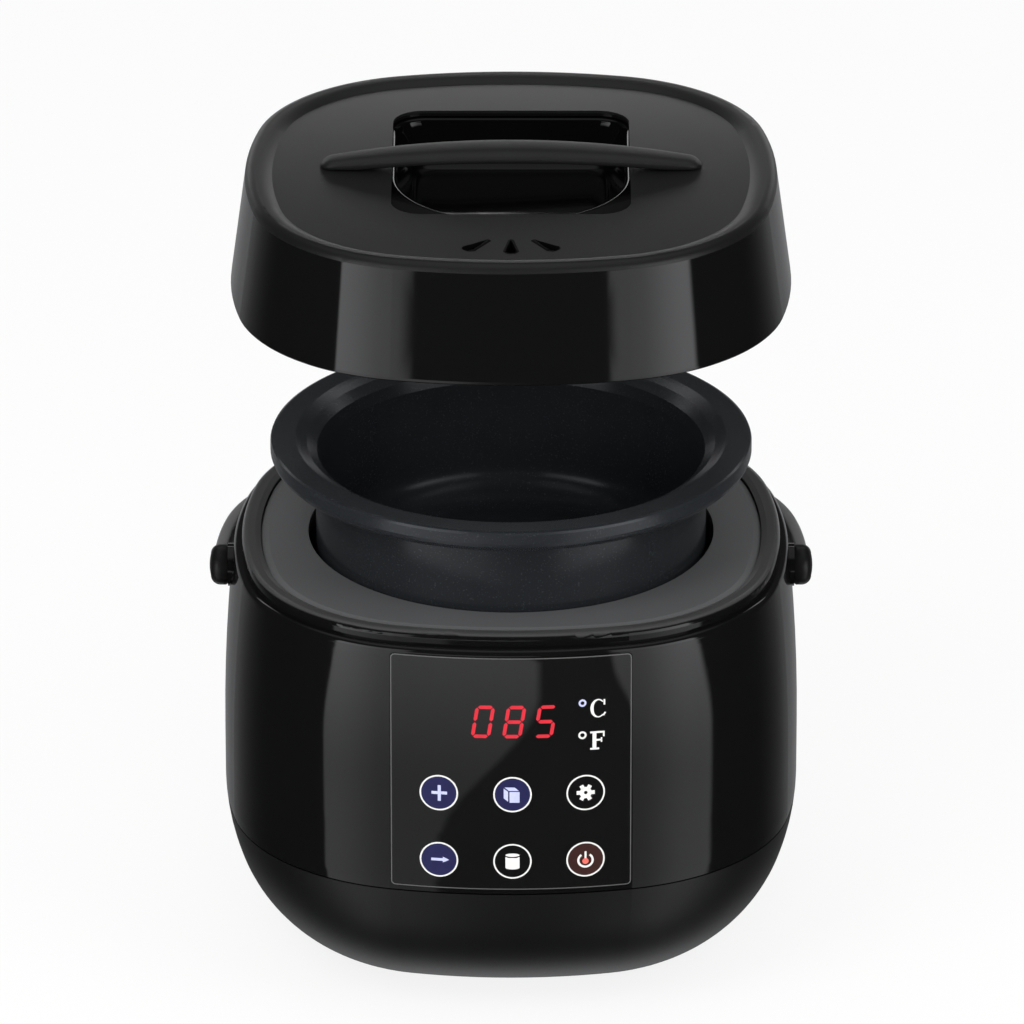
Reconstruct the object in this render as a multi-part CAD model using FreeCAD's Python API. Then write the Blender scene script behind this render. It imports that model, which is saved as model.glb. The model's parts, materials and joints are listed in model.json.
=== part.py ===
import FreeCAD, Part
import math
import os

# Candle wax melter, drawn as it stands in an exploded view: the pot is half lifted out of
# the body and the lid floats above it. Millimetres, +Z up, front towards -Y, +X to the right,
# origin under the middle of the feet.

Vector = FreeCAD.Vector
ORIGIN = Vector(0, 0, 0)
UP = Vector(0, 0, 1)
RIGHT = Vector(1, 0, 0)
BACK = Vector(0, 1, 0)

# Outline of the housing, seen from above: four bowed sides joined by four tangent corner arcs
half_width = 120.0
half_depth = 118.0
bow_radius = 228.0
corner_radius = 86.0

# Side of the body, from the floor to the shoulder
floor_height = 3.0
foot_curve_radius = 25.0
belly_radius = 70.0
waist_height = 68.0
neck_start = 90.0
neck_radius = 720.0
seam_height = 63.0
shoulder_height = 171.0
shoulder_roll = 2.5
shell_wall = 3.0
bowl_wall = 2.6
seam_gap = 0.6

# Top of the body
plate_height = 175.0
plate_thickness = 2.6
plate_edge_inset = 16.0
plate_chamfer_width = 3.0
plate_chamfer_drop = 1.2
hole_radius = 84.5
frame_outer_inset = 7.8
frame_rise = 5.4
frame_roll = 2.6
frame_gap = 0.4
frame_ledge_width = 8.6
frame_ledge_thickness = 2.4
shoulder_flange_width = 9.0

# Heating chamber and what stands in it
chamber_clearance = 0.3
chamber_wall = 0.8
chamber_bottom = 104.0
chamber_opening_radius = 50.0
chamber_flange_width = 6.0
heater_radius = 66.0
heater_top = 119.6
heater_thickness = 11.8
heater_tube_radius = 4.0
heater_ring_radius = 34.0
heater_bore_radius = 15.5
plate_screw_circle = 56.0
sleeve_thickness = 6.0

# Spring-loaded sensor in the middle of the heating plate
sensor_cap_radius = 14.0
sensor_cap_height = 9.0
sensor_cap_wall = 1.2
sensor_stem_radius = 5.0
sensor_top = 120.0
bracket_height = 96.0
bracket_thickness = 1.6
bracket_width = 24.0
bracket_reach = 58.0
spring_coil_radius = 8.0
spring_wire_radius = 0.7
spring_turns = 4
spring_end_gap = 0.1
running_clearance = 0.08

# Melting pot
pot_outer_radius = 81.25
pot_wall = 1.8
pot_bottom_thickness = 2.4
pot_corner_radius = 18.0
flange_radius = 100.0
flange_height = 9.5
flange_seat_gap = 0.2
pot_seat_gap = 0.3
mouth_radius = 84.0
lip_radius = 89.5
lip_drop = 2.2

# Lid, heights counted from the lower edge of its skirt
lid_bottom_inset = 4.4
lid_top_inset = 10.6
lid_skirt_height = 46.4
lid_wall = 2.4
lid_face_height = 47.6
lid_crest_height = 49.8
lid_rim_width = 11.2
lid_seat_gap = 0.5
well_width = 98.0
well_front = 47.0
well_back = 66.0
well_corner = 13.0
well_depth = 23.0
well_shelf = 3.0
well_wall = 1.8
well_draft = 9.0
well_lip = 5.0
well_fit = 0.15
bar_length = 157.0
bar_width = 19.0
bar_end_width = 9.0
bar_rise = 9.5
bar_thickness = 4.8
bar_foot = 21.0
bar_end_height = 1.6
bar_place = 5.0
vent_radius = 2.7
vent_length = 14.6
vent_tip_place = 74.0
vent_spread = 9.4
vent_turn = 42.0
liner_height = 15.0
liner_thickness = 1.0
liner_inset = 19.0
gasket_thickness = 1.5
gasket_inner_radius = 87.0
gasket_outer_radius = 97.0
lid_post_x = 72.0
lid_post_y = 62.0
lid_post_radius = 4.0
screw_radius = 1.6
screw_head_radius = 3.2
screw_head_height = 2.0

# Bail handle
pivot_height = 158.6
bail_inner = 118.4
bail_thickness = 4.0
bail_reach = 123.0
bail_bar_thickness = 3.4
bail_corner_radius = 78.0
bail_strap_height = 10.0
bail_droop = 9.0
bail_eye_radius = 8.5
pin_radius = 3.0
boss_radius = 9.0
boss_gap = 0.2
knob_reach = 125.8
pin_head_radius = 5.5

# Control panel and the boards behind it
panel_width = 99.0
panel_bottom = 65.0
panel_top = 168.0
panel_thickness = 2.0
panel_proud = 0.2
panel_fit = 0.15
panel_corner = 2.0
display_width = 52.0
display_height = 24.0
display_centre_x = 1.5
display_centre_z = 140.7
display_gap = 0.3
touch_columns = (-29.6, 0.6, 30.6)
touch_rows = (108.3, 78.1)
touch_hole_radius = 6.5
touch_spring_radius = 4.6
touch_spring_wall = 0.5
board_front = 106.5
board_thickness = 1.6
board_width = 92.0
board_bottom = 68.0
board_top = 156.0
board_post_radius = 3.2
board_screw_radius = 1.2
board_screw_depth = 2.0

# Power inlet in the rear wall
inlet_height = 90.0
inlet_flange_width = 50.0
inlet_flange_height = 28.0
inlet_flange_thickness = 2.4
inlet_body_width = 28.0
inlet_body_height = 21.0
inlet_body_depth = 24.0
inlet_mouth_width = 24.0
inlet_mouth_height = 17.0
inlet_mouth_depth = 17.0
inlet_screw_reach = 20.0
pad_face = 118.6
pad_width = 56.0
pad_height = 34.0

# Underside and power board
cover_inset = 53.4
cover_ledge_width = 6.6
cover_thickness = 2.0
cover_fit = 0.2
foot_x = 42.0
foot_y = 40.0
foot_radius = 8.0
foot_peg_radius = 3.0
base_screw_inset = 57.0
base_boss_radius = 4.0
base_boss_height = 9.0
power_board_width = 84.0
power_board_depth = 66.0
power_board_height = 15.0
post_radius = 3.5

# How far the pot and the lid are lifted in the exploded view
pot_lift = 33.0
lid_lift = 117.0


def outline_sectors():
    """Centre, radius, first and last angle of the eight tangent arcs of the outline."""
    side_x = half_width - bow_radius
    front_y = half_depth - bow_radius
    reach = bow_radius - corner_radius
    span = math.hypot(side_x, front_y)
    lean = math.sqrt(reach ** 2 - (span / 2) ** 2)
    corner_x = side_x / 2 - lean * front_y / span
    corner_y = front_y / 2 - lean * side_x / span
    low = math.degrees(math.atan2(corner_y, corner_x - side_x))
    high = math.degrees(math.atan2(corner_y - front_y, corner_x))
    return {
        "right": (side_x, 0, bow_radius, -low, low),
        "back_right": (corner_x, corner_y, corner_radius, low, high),
        "back": (0, front_y, bow_radius, high, 180 - high),
        "back_left": (-corner_x, corner_y, corner_radius, 180 - high, 180 - low),
        "left": (-side_x, 0, bow_radius, 180 - low, 180 + low),
        "front_left": (-corner_x, -corner_y, corner_radius, 180 + low, 180 + high),
        "front": (0, -front_y, bow_radius, 180 + high, 360 - high),
        "front_right": (corner_x, -corner_y, corner_radius, 360 - high, 360 - low),
    }


SECTORS = outline_sectors()


def front_sag(x):
    """How far the bowed front falls back at distance x from its middle."""
    return bow_radius - math.sqrt(bow_radius ** 2 - x ** 2)


def strokes(*steps):
    """Open path: a pair is a point to draw a line to, a four is an arc through its first two numbers."""
    here = Vector(steps[0][0], 0, steps[0][1])
    edges = []
    for step in steps[1:]:
        there = Vector(step[-2], 0, step[-1])
        if len(step) == 4:
            edges.append(Part.Arc(here, Vector(step[0], 0, step[1]), there).toShape())
        else:
            edges.append(Part.makeLine(here, there))
        here = there
    return edges


def closed_face(edges):
    return Part.Face(Part.Wire(Part.__sortEdges__(edges)))


def outline_profile(*steps):
    """Face in the plane of offset and height, closed with a line."""
    return closed_face(strokes(*steps, steps[0]))


def one_solid(shape):
    shape = shape.removeSplitter()
    if len(shape.Solids) != 1:
        raise ValueError("expected one solid, got %d" % len(shape.Solids))
    return shape.Solids[0]


def joined(*solids):
    return one_solid(solids[0].multiFuse(list(solids[1:])))


def group(solids):
    return Part.makeCompound(solids)


def carry(profile, names=None):
    """Carry a face of offset and height round the outline, as one solid."""
    pieces = []
    for name in names or SECTORS:
        x, y, radius, first, last = SECTORS[name]
        face = profile.copy()
        face.translate(Vector(radius, 0, 0))
        piece = face.revolve(ORIGIN, UP, last - first)
        piece.rotate(ORIGIN, UP, first)
        piece.translate(Vector(x, y, 0))
        pieces.append(piece)
    if len(pieces) == 1:
        return pieces[0]
    return joined(*pieces)


def slab(offset, low, high):
    """Plate with the housing's outline moved by offset."""
    edges = [
        Part.makeCircle(radius + offset, Vector(x, y, low), UP, first, last)
        for x, y, radius, first, last in SECTORS.values()
    ]
    return Part.Face(Part.Wire(edges)).extrude(Vector(0, 0, high - low))


def disc(radius, low, high, x=0.0, y=0.0):
    return Part.makeCylinder(radius, high - low, Vector(x, y, low), UP)


def tube(outer, inner, low, high, x=0.0, y=0.0):
    return disc(outer, low, high, x, y).cut(disc(inner, low, high, x, y))


def rod_x(radius, first, last, y, z):
    return Part.makeCylinder(radius, last - first, Vector(first, y, z), RIGHT)


def rod_y(radius, first, last, x, z):
    return Part.makeCylinder(radius, last - first, Vector(x, first, z), BACK)


def block(x1, x2, y1, y2, z1, z2):
    return Part.makeBox(x2 - x1, y2 - y1, z2 - z1, Vector(x1, y1, z1))


def turned(*steps):
    """Solid of revolution about the upright axis from a closed path of radius and height."""
    return closed_face(strokes(*steps, steps[0])).revolve(ORIGIN, UP, 360)


def rounded_plate(x1, x2, y1, y2, radius, low, high):
    plate = block(x1, x2, y1, y2, low, high)
    corners = [edge for edge in plate.Edges if abs(edge.Vertexes[0].Z - edge.Vertexes[1].Z) > 0.1]
    return plate.makeFillet(radius, corners)


def mirrored(solid):
    return solid.mirror(ORIGIN, RIGHT)


def moved(shape, z):
    shape = shape.copy()
    shape.translate(Vector(0, 0, z))
    return shape


# Side curve of the body

foot_arc_height = floor_height + foot_curve_radius
foot_arc_offset = math.sqrt(
    (belly_radius - foot_curve_radius) ** 2 - (waist_height - foot_arc_height) ** 2
) - belly_radius


def side_spans(inset):
    """Centre, radius, lowest and highest point of each arc of the side; a line has no radius."""
    reach = belly_radius - foot_curve_radius
    join = foot_arc_height - (foot_curve_radius - inset) * (waist_height - foot_arc_height) / reach
    return (
        (foot_arc_offset, foot_arc_height, foot_curve_radius - inset, floor_height + inset, join),
        (-belly_radius, waist_height, belly_radius - inset, join, waist_height),
        (-inset, 0, None, waist_height, neck_start),
        (-neck_radius, neck_start, neck_radius - inset, neck_start, shoulder_height),
    )


def side_point(inset, height):
    for x, z, radius, low, high in side_spans(inset):
        if height <= high:
            break
    if radius is None:
        return (x, height)
    return (x + math.sqrt(max(0.0, radius ** 2 - (height - z) ** 2)), height)


def side_curve(inset, low, high):
    """Edges along the side of the body, set in by inset, between two heights."""
    steps = [side_point(inset, low)]
    for x, z, radius, bottom, top in side_spans(inset):
        first = max(low, bottom)
        last = min(high, top)
        if last - first > 0.001:
            end = side_point(inset, last)
            if radius is not None:
                end = side_point(inset, (first + last) / 2) + end
            steps.append(end)
    return strokes(*steps)


def panel_back(x, height):
    """How far in front of the middle the back of the panel lies at a place."""
    return half_depth + side_point(0, height)[0] - front_sag(x) - panel_thickness + panel_proud


def panel_slice(outer_inset, thickness, grow):
    """Curved plate on the front of the body, grown by grow on each side."""
    low = panel_bottom - grow
    high = panel_top + grow
    back = outer_inset + thickness
    edges = side_curve(outer_inset, low, high)
    edges += side_curve(back, low, high)
    edges += strokes(side_point(outer_inset, low), side_point(back, low))
    edges += strokes(side_point(outer_inset, high), side_point(back, high))
    plate = carry(closed_face(edges), ("front_left", "front", "front_right"))
    half = panel_width / 2 + grow
    window = rounded_plate(-half, half, low, high, panel_corner, 0, half_depth * 2)
    window.rotate(ORIGIN, RIGHT, 90)
    return one_solid(plate.common(window))


def outer_shell():
    roll_start = shoulder_height - shoulder_roll
    flange_under = shoulder_height - shell_wall
    outer_end = side_point(0, roll_start)
    inner_end = side_point(shell_wall, flange_under)
    roll_in = outer_end[0] - shoulder_roll
    diagonal = shoulder_roll * math.sqrt(0.5)
    flange_end = -(frame_outer_inset + shoulder_flange_width)
    edges = side_curve(0, seam_height, roll_start)
    edges += strokes(
        outer_end,
        (roll_in + diagonal, roll_start + diagonal, roll_in, shoulder_height),
        (flange_end, shoulder_height),
        (flange_end, flange_under),
        inner_end,
    )
    edges += side_curve(shell_wall, seam_height, flange_under)
    edges += strokes(side_point(0, seam_height), side_point(shell_wall, seam_height))
    shell = carry(closed_face(edges))

    bosses = [
        rod_x(boss_radius, half_width - 7, bail_inner - boss_gap, 0, pivot_height),
        rod_x(boss_radius, boss_gap - bail_inner, 7 - half_width, 0, pivot_height),
    ]
    pad = block(-pad_width / 2, pad_width / 2, half_depth - shell_wall - 1, pad_face,
                inlet_height - pad_height / 2, inlet_height + pad_height / 2)
    posts = [
        rod_y(board_post_radius, -half_depth + shell_wall / 2 + front_sag(x), -board_front, x, z)
        for x, z in board_post_places()
    ]
    shell = joined(shell, *bosses, pad, *posts)

    half_w = inlet_body_width / 2
    half_h = inlet_body_height / 2
    cuts = [
        panel_slice(-panel_thickness, panel_thickness * 2 - panel_proud + panel_fit, panel_fit),
        block(-half_w, half_w, half_depth - 10, pad_face + 1, inlet_height - half_h, inlet_height + half_h),
        display_block(0.5, half_depth),
        rod_x(pin_radius, -half_width, half_width, 0, pivot_height),
    ]
    cuts += [
        rod_y(touch_hole_radius, -half_depth, -board_front - 2, x, z)
        for x in touch_columns for z in touch_rows
    ]
    cuts += [
        rod_y(screw_radius, half_depth - 12, pad_face + 1, x, inlet_height)
        for x in (-inlet_screw_reach, inlet_screw_reach)
    ]
    cuts += [
        rod_y(board_screw_radius, -board_front - board_screw_depth, -board_front, x, z)
        for x, z in board_post_places()
    ]
    return one_solid(shell.cut(cuts))


def board_post_places():
    margin = 5.0
    across = board_width / 2 - margin
    return [(x, z) for x in (-across, across) for z in (board_bottom + margin, board_top - margin)]


def display_block(grow, front):
    half_w = display_width / 2 + grow
    half_h = display_height / 2 + grow
    return block(display_centre_x - half_w, display_centre_x + half_w, -front, -board_front,
                 display_centre_z - half_h, display_centre_z + half_h)


def control_panel():
    return panel_slice(-panel_proud, panel_thickness, 0)


def display_module():
    """LED display: a block with a recessed face for each of its three digits."""
    furthest = abs(display_centre_x) + display_width / 2
    front = panel_back(furthest, display_centre_z + display_height / 2) - display_gap
    body = display_block(0, front)
    pitch = 13.2
    recesses = [
        block(x - 5, x + 5, -front - 1, -front + 0.8, display_centre_z - 8, display_centre_z + 8)
        for x in (display_centre_x - pitch, display_centre_x, display_centre_x + pitch)
    ]
    return one_solid(body.cut(recesses))


def control_board():
    board = block(-board_width / 2, board_width / 2, -board_front, -board_front + board_thickness,
                  board_bottom, board_top)
    chip = block(-12, 12, -board_front + board_thickness, -board_front + board_thickness + 2.5, 92, 104)
    socket = block(16, 32, -board_front + board_thickness, -board_front + board_thickness + 6, 74, 82)
    holes = [
        rod_y(board_screw_radius, -board_front, board_thickness - board_front, x, z)
        for x, z in board_post_places()
    ]
    return one_solid(joined(board, chip, socket).cut(holes))


def board_screws():
    back = -board_front + board_thickness
    screws = []
    for x, z in board_post_places():
        shank = rod_y(board_screw_radius, -board_front - board_screw_depth, back, x, z)
        head = rod_y(2.6, back, back + 1.6, x, z)
        screws.append(joined(shank, head))
    return group(screws)


def touch_springs():
    """Six sprung contacts that reach from the board through the shell to the panel."""
    springs = []
    for x in touch_columns:
        for z in touch_rows:
            reach = panel_back(abs(x) + touch_spring_radius, z + touch_spring_radius)
            sleeve = rod_y(touch_spring_radius, -reach, -board_front, x, z)
            core = rod_y(touch_spring_radius - touch_spring_wall, -reach, -board_front - 1, x, z)
            springs.append(one_solid(sleeve.cut(core)))
    return group(springs)


def base_bowl():
    seam = seam_height - seam_gap
    tongue_outer = shell_wall + 0.25
    tongue_inner = tongue_outer + 1.6
    tongue_top = seam_height + 5
    tongue_foot = seam_height - 11
    ledge_low = floor_height + cover_thickness + cover_fit
    ledge_high = ledge_low + bowl_wall
    ledge_end = -(cover_inset + cover_ledge_width)
    edges = side_curve(0, floor_height, seam)
    edges += strokes(side_point(0, seam), side_point(tongue_outer, seam))
    edges += side_curve(tongue_outer, seam, tongue_top)
    edges += strokes(side_point(tongue_outer, tongue_top), side_point(tongue_inner, tongue_top))
    edges += side_curve(tongue_inner, tongue_foot, tongue_top)
    edges += strokes(side_point(tongue_inner, tongue_foot), side_point(bowl_wall, tongue_foot - 4))
    edges += side_curve(bowl_wall, floor_height + bowl_wall, tongue_foot - 4)
    edges += strokes(
        side_point(bowl_wall, floor_height + bowl_wall),
        (foot_arc_offset - 1.5, ledge_high),
        (ledge_end, ledge_high),
        (ledge_end, ledge_low),
        (-cover_inset + cover_fit, ledge_low),
        (-cover_inset + cover_fit, floor_height),
        side_point(0, floor_height),
    )
    bowl = carry(closed_face(edges))
    bosses = [
        disc(base_boss_radius, ledge_high - 1, ledge_high + base_boss_height, x, y)
        for x, y in base_screw_places()
    ]
    pilots = [disc(screw_radius, 0, ledge_high + base_boss_height - 2, x, y) for x, y in base_screw_places()]
    return one_solid(joined(bowl, *bosses).cut(pilots))


def base_screw_places():
    across = half_width - base_screw_inset
    deep = half_depth - base_screw_inset
    return [(across, 0), (-across, 0), (0, deep), (0, -deep)]


def power_board_posts():
    margin = 5.0
    across = power_board_width / 2 - margin
    deep = power_board_depth / 2 - margin
    return [(x, y) for x in (-across, across) for y in (-deep, deep)]


def base_cover():
    """Bottom plate with five rows of air slots and four posts for the power board."""
    top = floor_height + cover_thickness
    plate = slab(-cover_inset, floor_height, top)
    posts = [disc(post_radius, top - 1, power_board_height, x, y) for x, y in power_board_posts()]
    plate = joined(plate, *posts)
    slot_length = 38.0
    slot_width = 3.0
    slot_pitch = 8.0
    cuts = []
    for row in range(-2, 3):
        y = row * slot_pitch
        half = slot_length / 2
        cuts.append(rounded_plate(-half, half, y - slot_width / 2, y + slot_width / 2, 1.4, 0, top + 1))
    cuts += [disc(screw_radius + 0.2, 0, top + 1, x, y) for x, y in base_screw_places()]
    cuts += [disc(foot_peg_radius, 0, top + 1, x, y) for x, y in foot_places()]
    cuts += [disc(1.2, 8, power_board_height, x, y) for x, y in power_board_posts()]
    return one_solid(plate.cut(cuts))


def foot_places():
    return [(x, y) for x in (-foot_x, foot_x) for y in (-foot_y, foot_y)]


def feet():
    """Rubber feet: a tapered pad with a peg that is pressed into the cover."""
    pads = []
    for x, y in foot_places():
        pad = Part.makeCone(foot_radius - 1, foot_radius, floor_height, Vector(x, y, 0), UP)
        peg = disc(foot_peg_radius, floor_height, floor_height + cover_thickness, x, y)
        pads.append(joined(pad, peg))
    return group(pads)


def base_screws():
    """Screws that hold the cover: the head lies under it, the shank ends in the bowl's boss."""
    head_top = floor_height
    tip = floor_height + cover_thickness + 9
    screws = []
    for x, y in base_screw_places():
        head = disc(screw_head_radius, head_top - 1.6, head_top, x, y)
        shank = disc(screw_radius, head_top, tip, x, y)
        slot = block(x - 2, x + 2, y - 0.4, y + 0.4, head_top - 1.6, head_top - 1.0)
        screws.append(one_solid(joined(head, shank).cut(slot)))
    return group(screws)


def power_board():
    half_w = power_board_width / 2
    half_d = power_board_depth / 2
    top = power_board_height + board_thickness
    board = block(-half_w, half_w, -half_d, half_d, power_board_height, top)
    terminals = [block(x - 3, x + 3, half_d - 10, half_d - 2, top, top + 9) for x in (-20, -8, 4, 16)]
    return joined(board, *terminals)


def power_relay():
    top = power_board_height + board_thickness
    return block(-36, -17, -24, -8, top, top + 16)


def power_transformer():
    """Small mains transformer: laminated core with the bobbin through its window."""
    top = power_board_height + board_thickness
    core = block(4, 36, -26, -2, top, top + 24)
    bobbin = block(1, 39, -22, -6, top + 3, top + 21)
    return joined(core, bobbin)


def power_capacitors():
    top = power_board_height + board_thickness
    return group([disc(5, top, top + 18, -10 + 13 * index, 8) for index in range(2)])


def top_frame():
    top = shoulder_height + frame_rise
    inner = plate_edge_inset - frame_gap
    ledge_top = plate_height - plate_thickness
    ledge_out = frame_outer_inset + shoulder_flange_width + 0.2
    turn = frame_roll * (1 - math.sqrt(0.5))
    outer = -frame_outer_inset
    return carry(outline_profile(
        (outer, shoulder_height),
        (outer, top - frame_roll),
        (outer - turn, top - turn, outer - frame_roll, top),
        (-inner + 2.2, top - 0.3),
        (-inner, top - 1.3),
        (-inner, ledge_top),
        (-inner - frame_ledge_width, ledge_top),
        (-inner - frame_ledge_width, ledge_top - frame_ledge_thickness),
        (-ledge_out, ledge_top - frame_ledge_thickness),
        (-ledge_out, shoulder_height),
    ))


def top_plate():
    under = plate_height - plate_thickness
    edge = -plate_edge_inset
    band = 8.0
    rim = carry(outline_profile(
        (edge, under),
        (edge, plate_height - plate_chamfer_drop),
        (edge - plate_chamfer_width, plate_height),
        (edge - band, plate_height),
        (edge - band, under),
    ))
    plate = joined(rim, slab(edge - band, under, plate_height))
    return one_solid(plate.cut(disc(hole_radius, under - 1, plate_height + 1)))


def heating_chamber():
    """Pressed cup that lines the hole: a flange under the top plate, a wall and a ring floor."""
    inner = hole_radius + chamber_clearance
    outer = inner + chamber_wall
    top = plate_height - plate_thickness
    floor = chamber_bottom + chamber_wall
    bend = 6.0
    turn = 1 - math.sqrt(0.5)
    inner_bend = bend - chamber_wall
    cup = turned(
        (inner, top),
        (outer + chamber_flange_width, top),
        (outer + chamber_flange_width, top - chamber_wall),
        (outer, top - chamber_wall),
        (outer, chamber_bottom + bend),
        (outer - bend * turn, chamber_bottom + bend * turn, outer - bend, chamber_bottom),
        (chamber_opening_radius, chamber_bottom),
        (chamber_opening_radius, floor),
        (outer - bend, floor),
        (inner - inner_bend * turn, floor + inner_bend * turn, inner, floor + inner_bend),
    )
    holes = [disc(screw_radius + 0.4, chamber_bottom - 1, floor + 1, x, y) for x, y in plate_screw_places()]
    return one_solid(cup.cut(holes))


def insulation_sleeve():
    inner = hole_radius + chamber_clearance + chamber_wall + 0.3
    low = chamber_bottom + 8
    high = plate_height - plate_thickness - chamber_wall - 1
    return tube(inner + sleeve_thickness, inner, low, high)


def plate_screw_places():
    return [
        (plate_screw_circle * math.cos(math.radians(angle)), plate_screw_circle * math.sin(math.radians(angle)))
        for angle in (30, 150, 270)
    ]


def heating_plate():
    """Cast disc with a cast-in heater ring under it, a bore for the sensor and three lugs."""
    under = heater_top - heater_thickness
    disc_under = under + heater_tube_radius
    edge = 2.0
    plate = turned(
        (heater_bore_radius, disc_under),
        (heater_radius, disc_under),
        (heater_radius, heater_top - edge),
        (heater_radius - edge, heater_top),
        (heater_bore_radius, heater_top),
    )
    ring = Part.makeTorus(heater_ring_radius, heater_tube_radius + 1, Vector(0, 0, disc_under), UP)
    lugs = [disc(5, chamber_bottom + chamber_wall, disc_under + 1, x, y) for x, y in plate_screw_places()]
    pilots = [disc(screw_radius, chamber_bottom, disc_under + 2, x, y) for x, y in plate_screw_places()]
    return one_solid(joined(plate, ring, *lugs).cut(pilots))


def plate_screws():
    screws = []
    for x, y in plate_screw_places():
        head = disc(screw_head_radius + 0.6, chamber_bottom - 2, chamber_bottom, x, y)
        shank = disc(screw_radius, chamber_bottom, chamber_bottom + 7, x, y)
        screws.append(joined(head, shank))
    return group(screws)


def heater_terminals():
    """Two terminal posts that stand out of the heater ring, each with a flat tab."""
    under = heater_top - heater_thickness - 1
    terminals = []
    for x in (-9.0, 9.0):
        y = -math.sqrt(heater_ring_radius ** 2 - x ** 2)
        post = disc(2.6, under - 7, under + 0.5, x, y)
        tab = block(x - 3, x + 3, y - 0.4, y + 0.4, under - 16, under - 6)
        terminals.append(joined(post, tab))
    cores = Part.makeTorus(heater_ring_radius, heater_tube_radius + 1,
                           Vector(0, 0, heater_top - heater_thickness + heater_tube_radius), UP)
    return group([one_solid(terminal.cut(cores)) for terminal in terminals])


def sensor_cap():
    """Cap, stem and retaining washer of the temperature sensor, in one turned piece."""
    under = sensor_top - sensor_cap_height
    ceiling = sensor_top - sensor_cap_wall
    washer_top = bracket_height - 0.3
    washer_low = washer_top - 1.4
    edge = 0.8
    return turned(
        (0, sensor_top),
        (sensor_cap_radius - edge, sensor_top),
        (sensor_cap_radius, sensor_top - edge),
        (sensor_cap_radius, under),
        (sensor_cap_radius - sensor_cap_wall, under),
        (sensor_cap_radius - sensor_cap_wall, ceiling),
        (sensor_stem_radius, ceiling),
        (sensor_stem_radius, washer_top),
        (sensor_stem_radius + 2, washer_top),
        (sensor_stem_radius + 2, washer_low),
        (sensor_stem_radius - 1, washer_low),
        (sensor_stem_radius - 1, washer_low - 5),
        (0, washer_low - 5),
    )


def sensor_bracket():
    """Bent strap under the chamber floor that guides the stem and carries the spring."""
    step = bracket_reach - 9
    high = chamber_bottom
    half = bracket_width / 2
    thick = bracket_thickness
    outline = closed_face(strokes(
        (-bracket_reach, high),
        (-bracket_reach, high - thick),
        (-step, high - thick),
        (-step, bracket_height),
        (step, bracket_height),
        (step, high - thick),
        (bracket_reach, high - thick),
        (bracket_reach, high),
        (step - thick, high),
        (step - thick, bracket_height + thick),
        (thick - step, bracket_height + thick),
        (thick - step, high),
        (-bracket_reach, high),
    ))
    outline.translate(Vector(0, -half, 0))
    strap = outline.extrude(Vector(0, bracket_width, 0))
    hole = disc(sensor_stem_radius + running_clearance, bracket_height - 1, bracket_height + thick + 1)
    return one_solid(strap.cut(hole))


def sensor_spring():
    """Coil spring between the bracket and the ceiling of the cap, in tilted half turns.

    Each half turn is a half circle whose plane holds the Y axis, so that its ends meet the next
    ones with no kink.
    """
    low = bracket_height + bracket_thickness + spring_wire_radius + spring_end_gap
    high = sensor_top - sensor_cap_wall - spring_wire_radius - spring_end_gap
    half_turns = 2 * spring_turns
    rise = (high - low) / half_turns
    arcs = []
    for index in range(half_turns):
        side = 1 if index % 2 == 0 else -1
        start = Vector(side * spring_coil_radius, 0, low + index * rise)
        middle = Vector(0, 0, low + (index + 0.5) * rise)
        axis = BACK.cross(start - middle)
        if axis.z > 0:
            axis = axis * -1
        section = Part.Face(Part.Wire([Part.makeCircle(spring_wire_radius, start, BACK)]))
        arcs.append(section.revolve(middle, axis * -1, 180))
    return joined(*arcs)


def thermal_fuse():
    """Cut-out capsule with its two wire ends, under the chamber floor."""
    z = chamber_bottom - 4.2
    body = rod_x(3.0, -9, 9, 66, z)
    wires = rod_x(0.6, -16, 16, 66, z)
    return joined(body, wires)


def fuse_clip():
    z = chamber_bottom - 4.2
    saddle = rod_x(3.8, -5, 5, 66, z).cut(rod_x(3.0, -6, 6, 66, z))
    saddle = saddle.cut(block(-6, 6, 60, 72, z - 5, z - 1.5))
    wing = block(-5, 5, 66, 78, chamber_bottom - 1, chamber_bottom)
    wing = wing.cut(rod_x(3.4, -6, 6, 66, z))
    return joined(saddle, wing)


def power_inlet():
    """Appliance inlet: flange outside, body through the rear wall, open mouth."""
    half_w = inlet_body_width / 2 - 0.2
    half_h = inlet_body_height / 2 - 0.2
    flange = block(-inlet_flange_width / 2, inlet_flange_width / 2, pad_face,
                   pad_face + inlet_flange_thickness,
                   inlet_height - inlet_flange_height / 2, inlet_height + inlet_flange_height / 2)
    upright = [edge for edge in flange.Edges if abs(edge.Vertexes[0].Y - edge.Vertexes[1].Y) > 0.1]
    flange = flange.makeFillet(6.0, upright)
    body = block(-half_w, half_w, pad_face - inlet_body_depth, pad_face + 1,
                 inlet_height - half_h, inlet_height + half_h)
    solid = joined(flange, body)
    face = pad_face + inlet_flange_thickness
    mouth_w = inlet_mouth_width / 2
    mouth_h = inlet_mouth_height / 2
    cut_corner = 5.0
    points = [
        (-mouth_w, -mouth_h), (mouth_w, -mouth_h), (mouth_w, mouth_h - cut_corner),
        (mouth_w - cut_corner, mouth_h), (cut_corner - mouth_w, mouth_h), (-mouth_w, mouth_h - cut_corner),
    ]
    corners = [Vector(x, face - inlet_mouth_depth, inlet_height + z) for x, z in points]
    mouth = Part.Face(Part.makePolygon(corners + corners[:1])).extrude(Vector(0, inlet_mouth_depth + 1, 0))
    holes = [
        rod_y(screw_radius + 0.2, pad_face - 1, face + 1, x, inlet_height)
        for x in (-inlet_screw_reach, inlet_screw_reach)
    ]
    pins = [pin_block(x, z, 0) for x, z in pin_places()]
    return one_solid(solid.cut([mouth] + holes + pins))


def pin_places():
    return [(-7.0, -2.0), (0.0, 3.0), (7.0, -2.0)]


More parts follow.
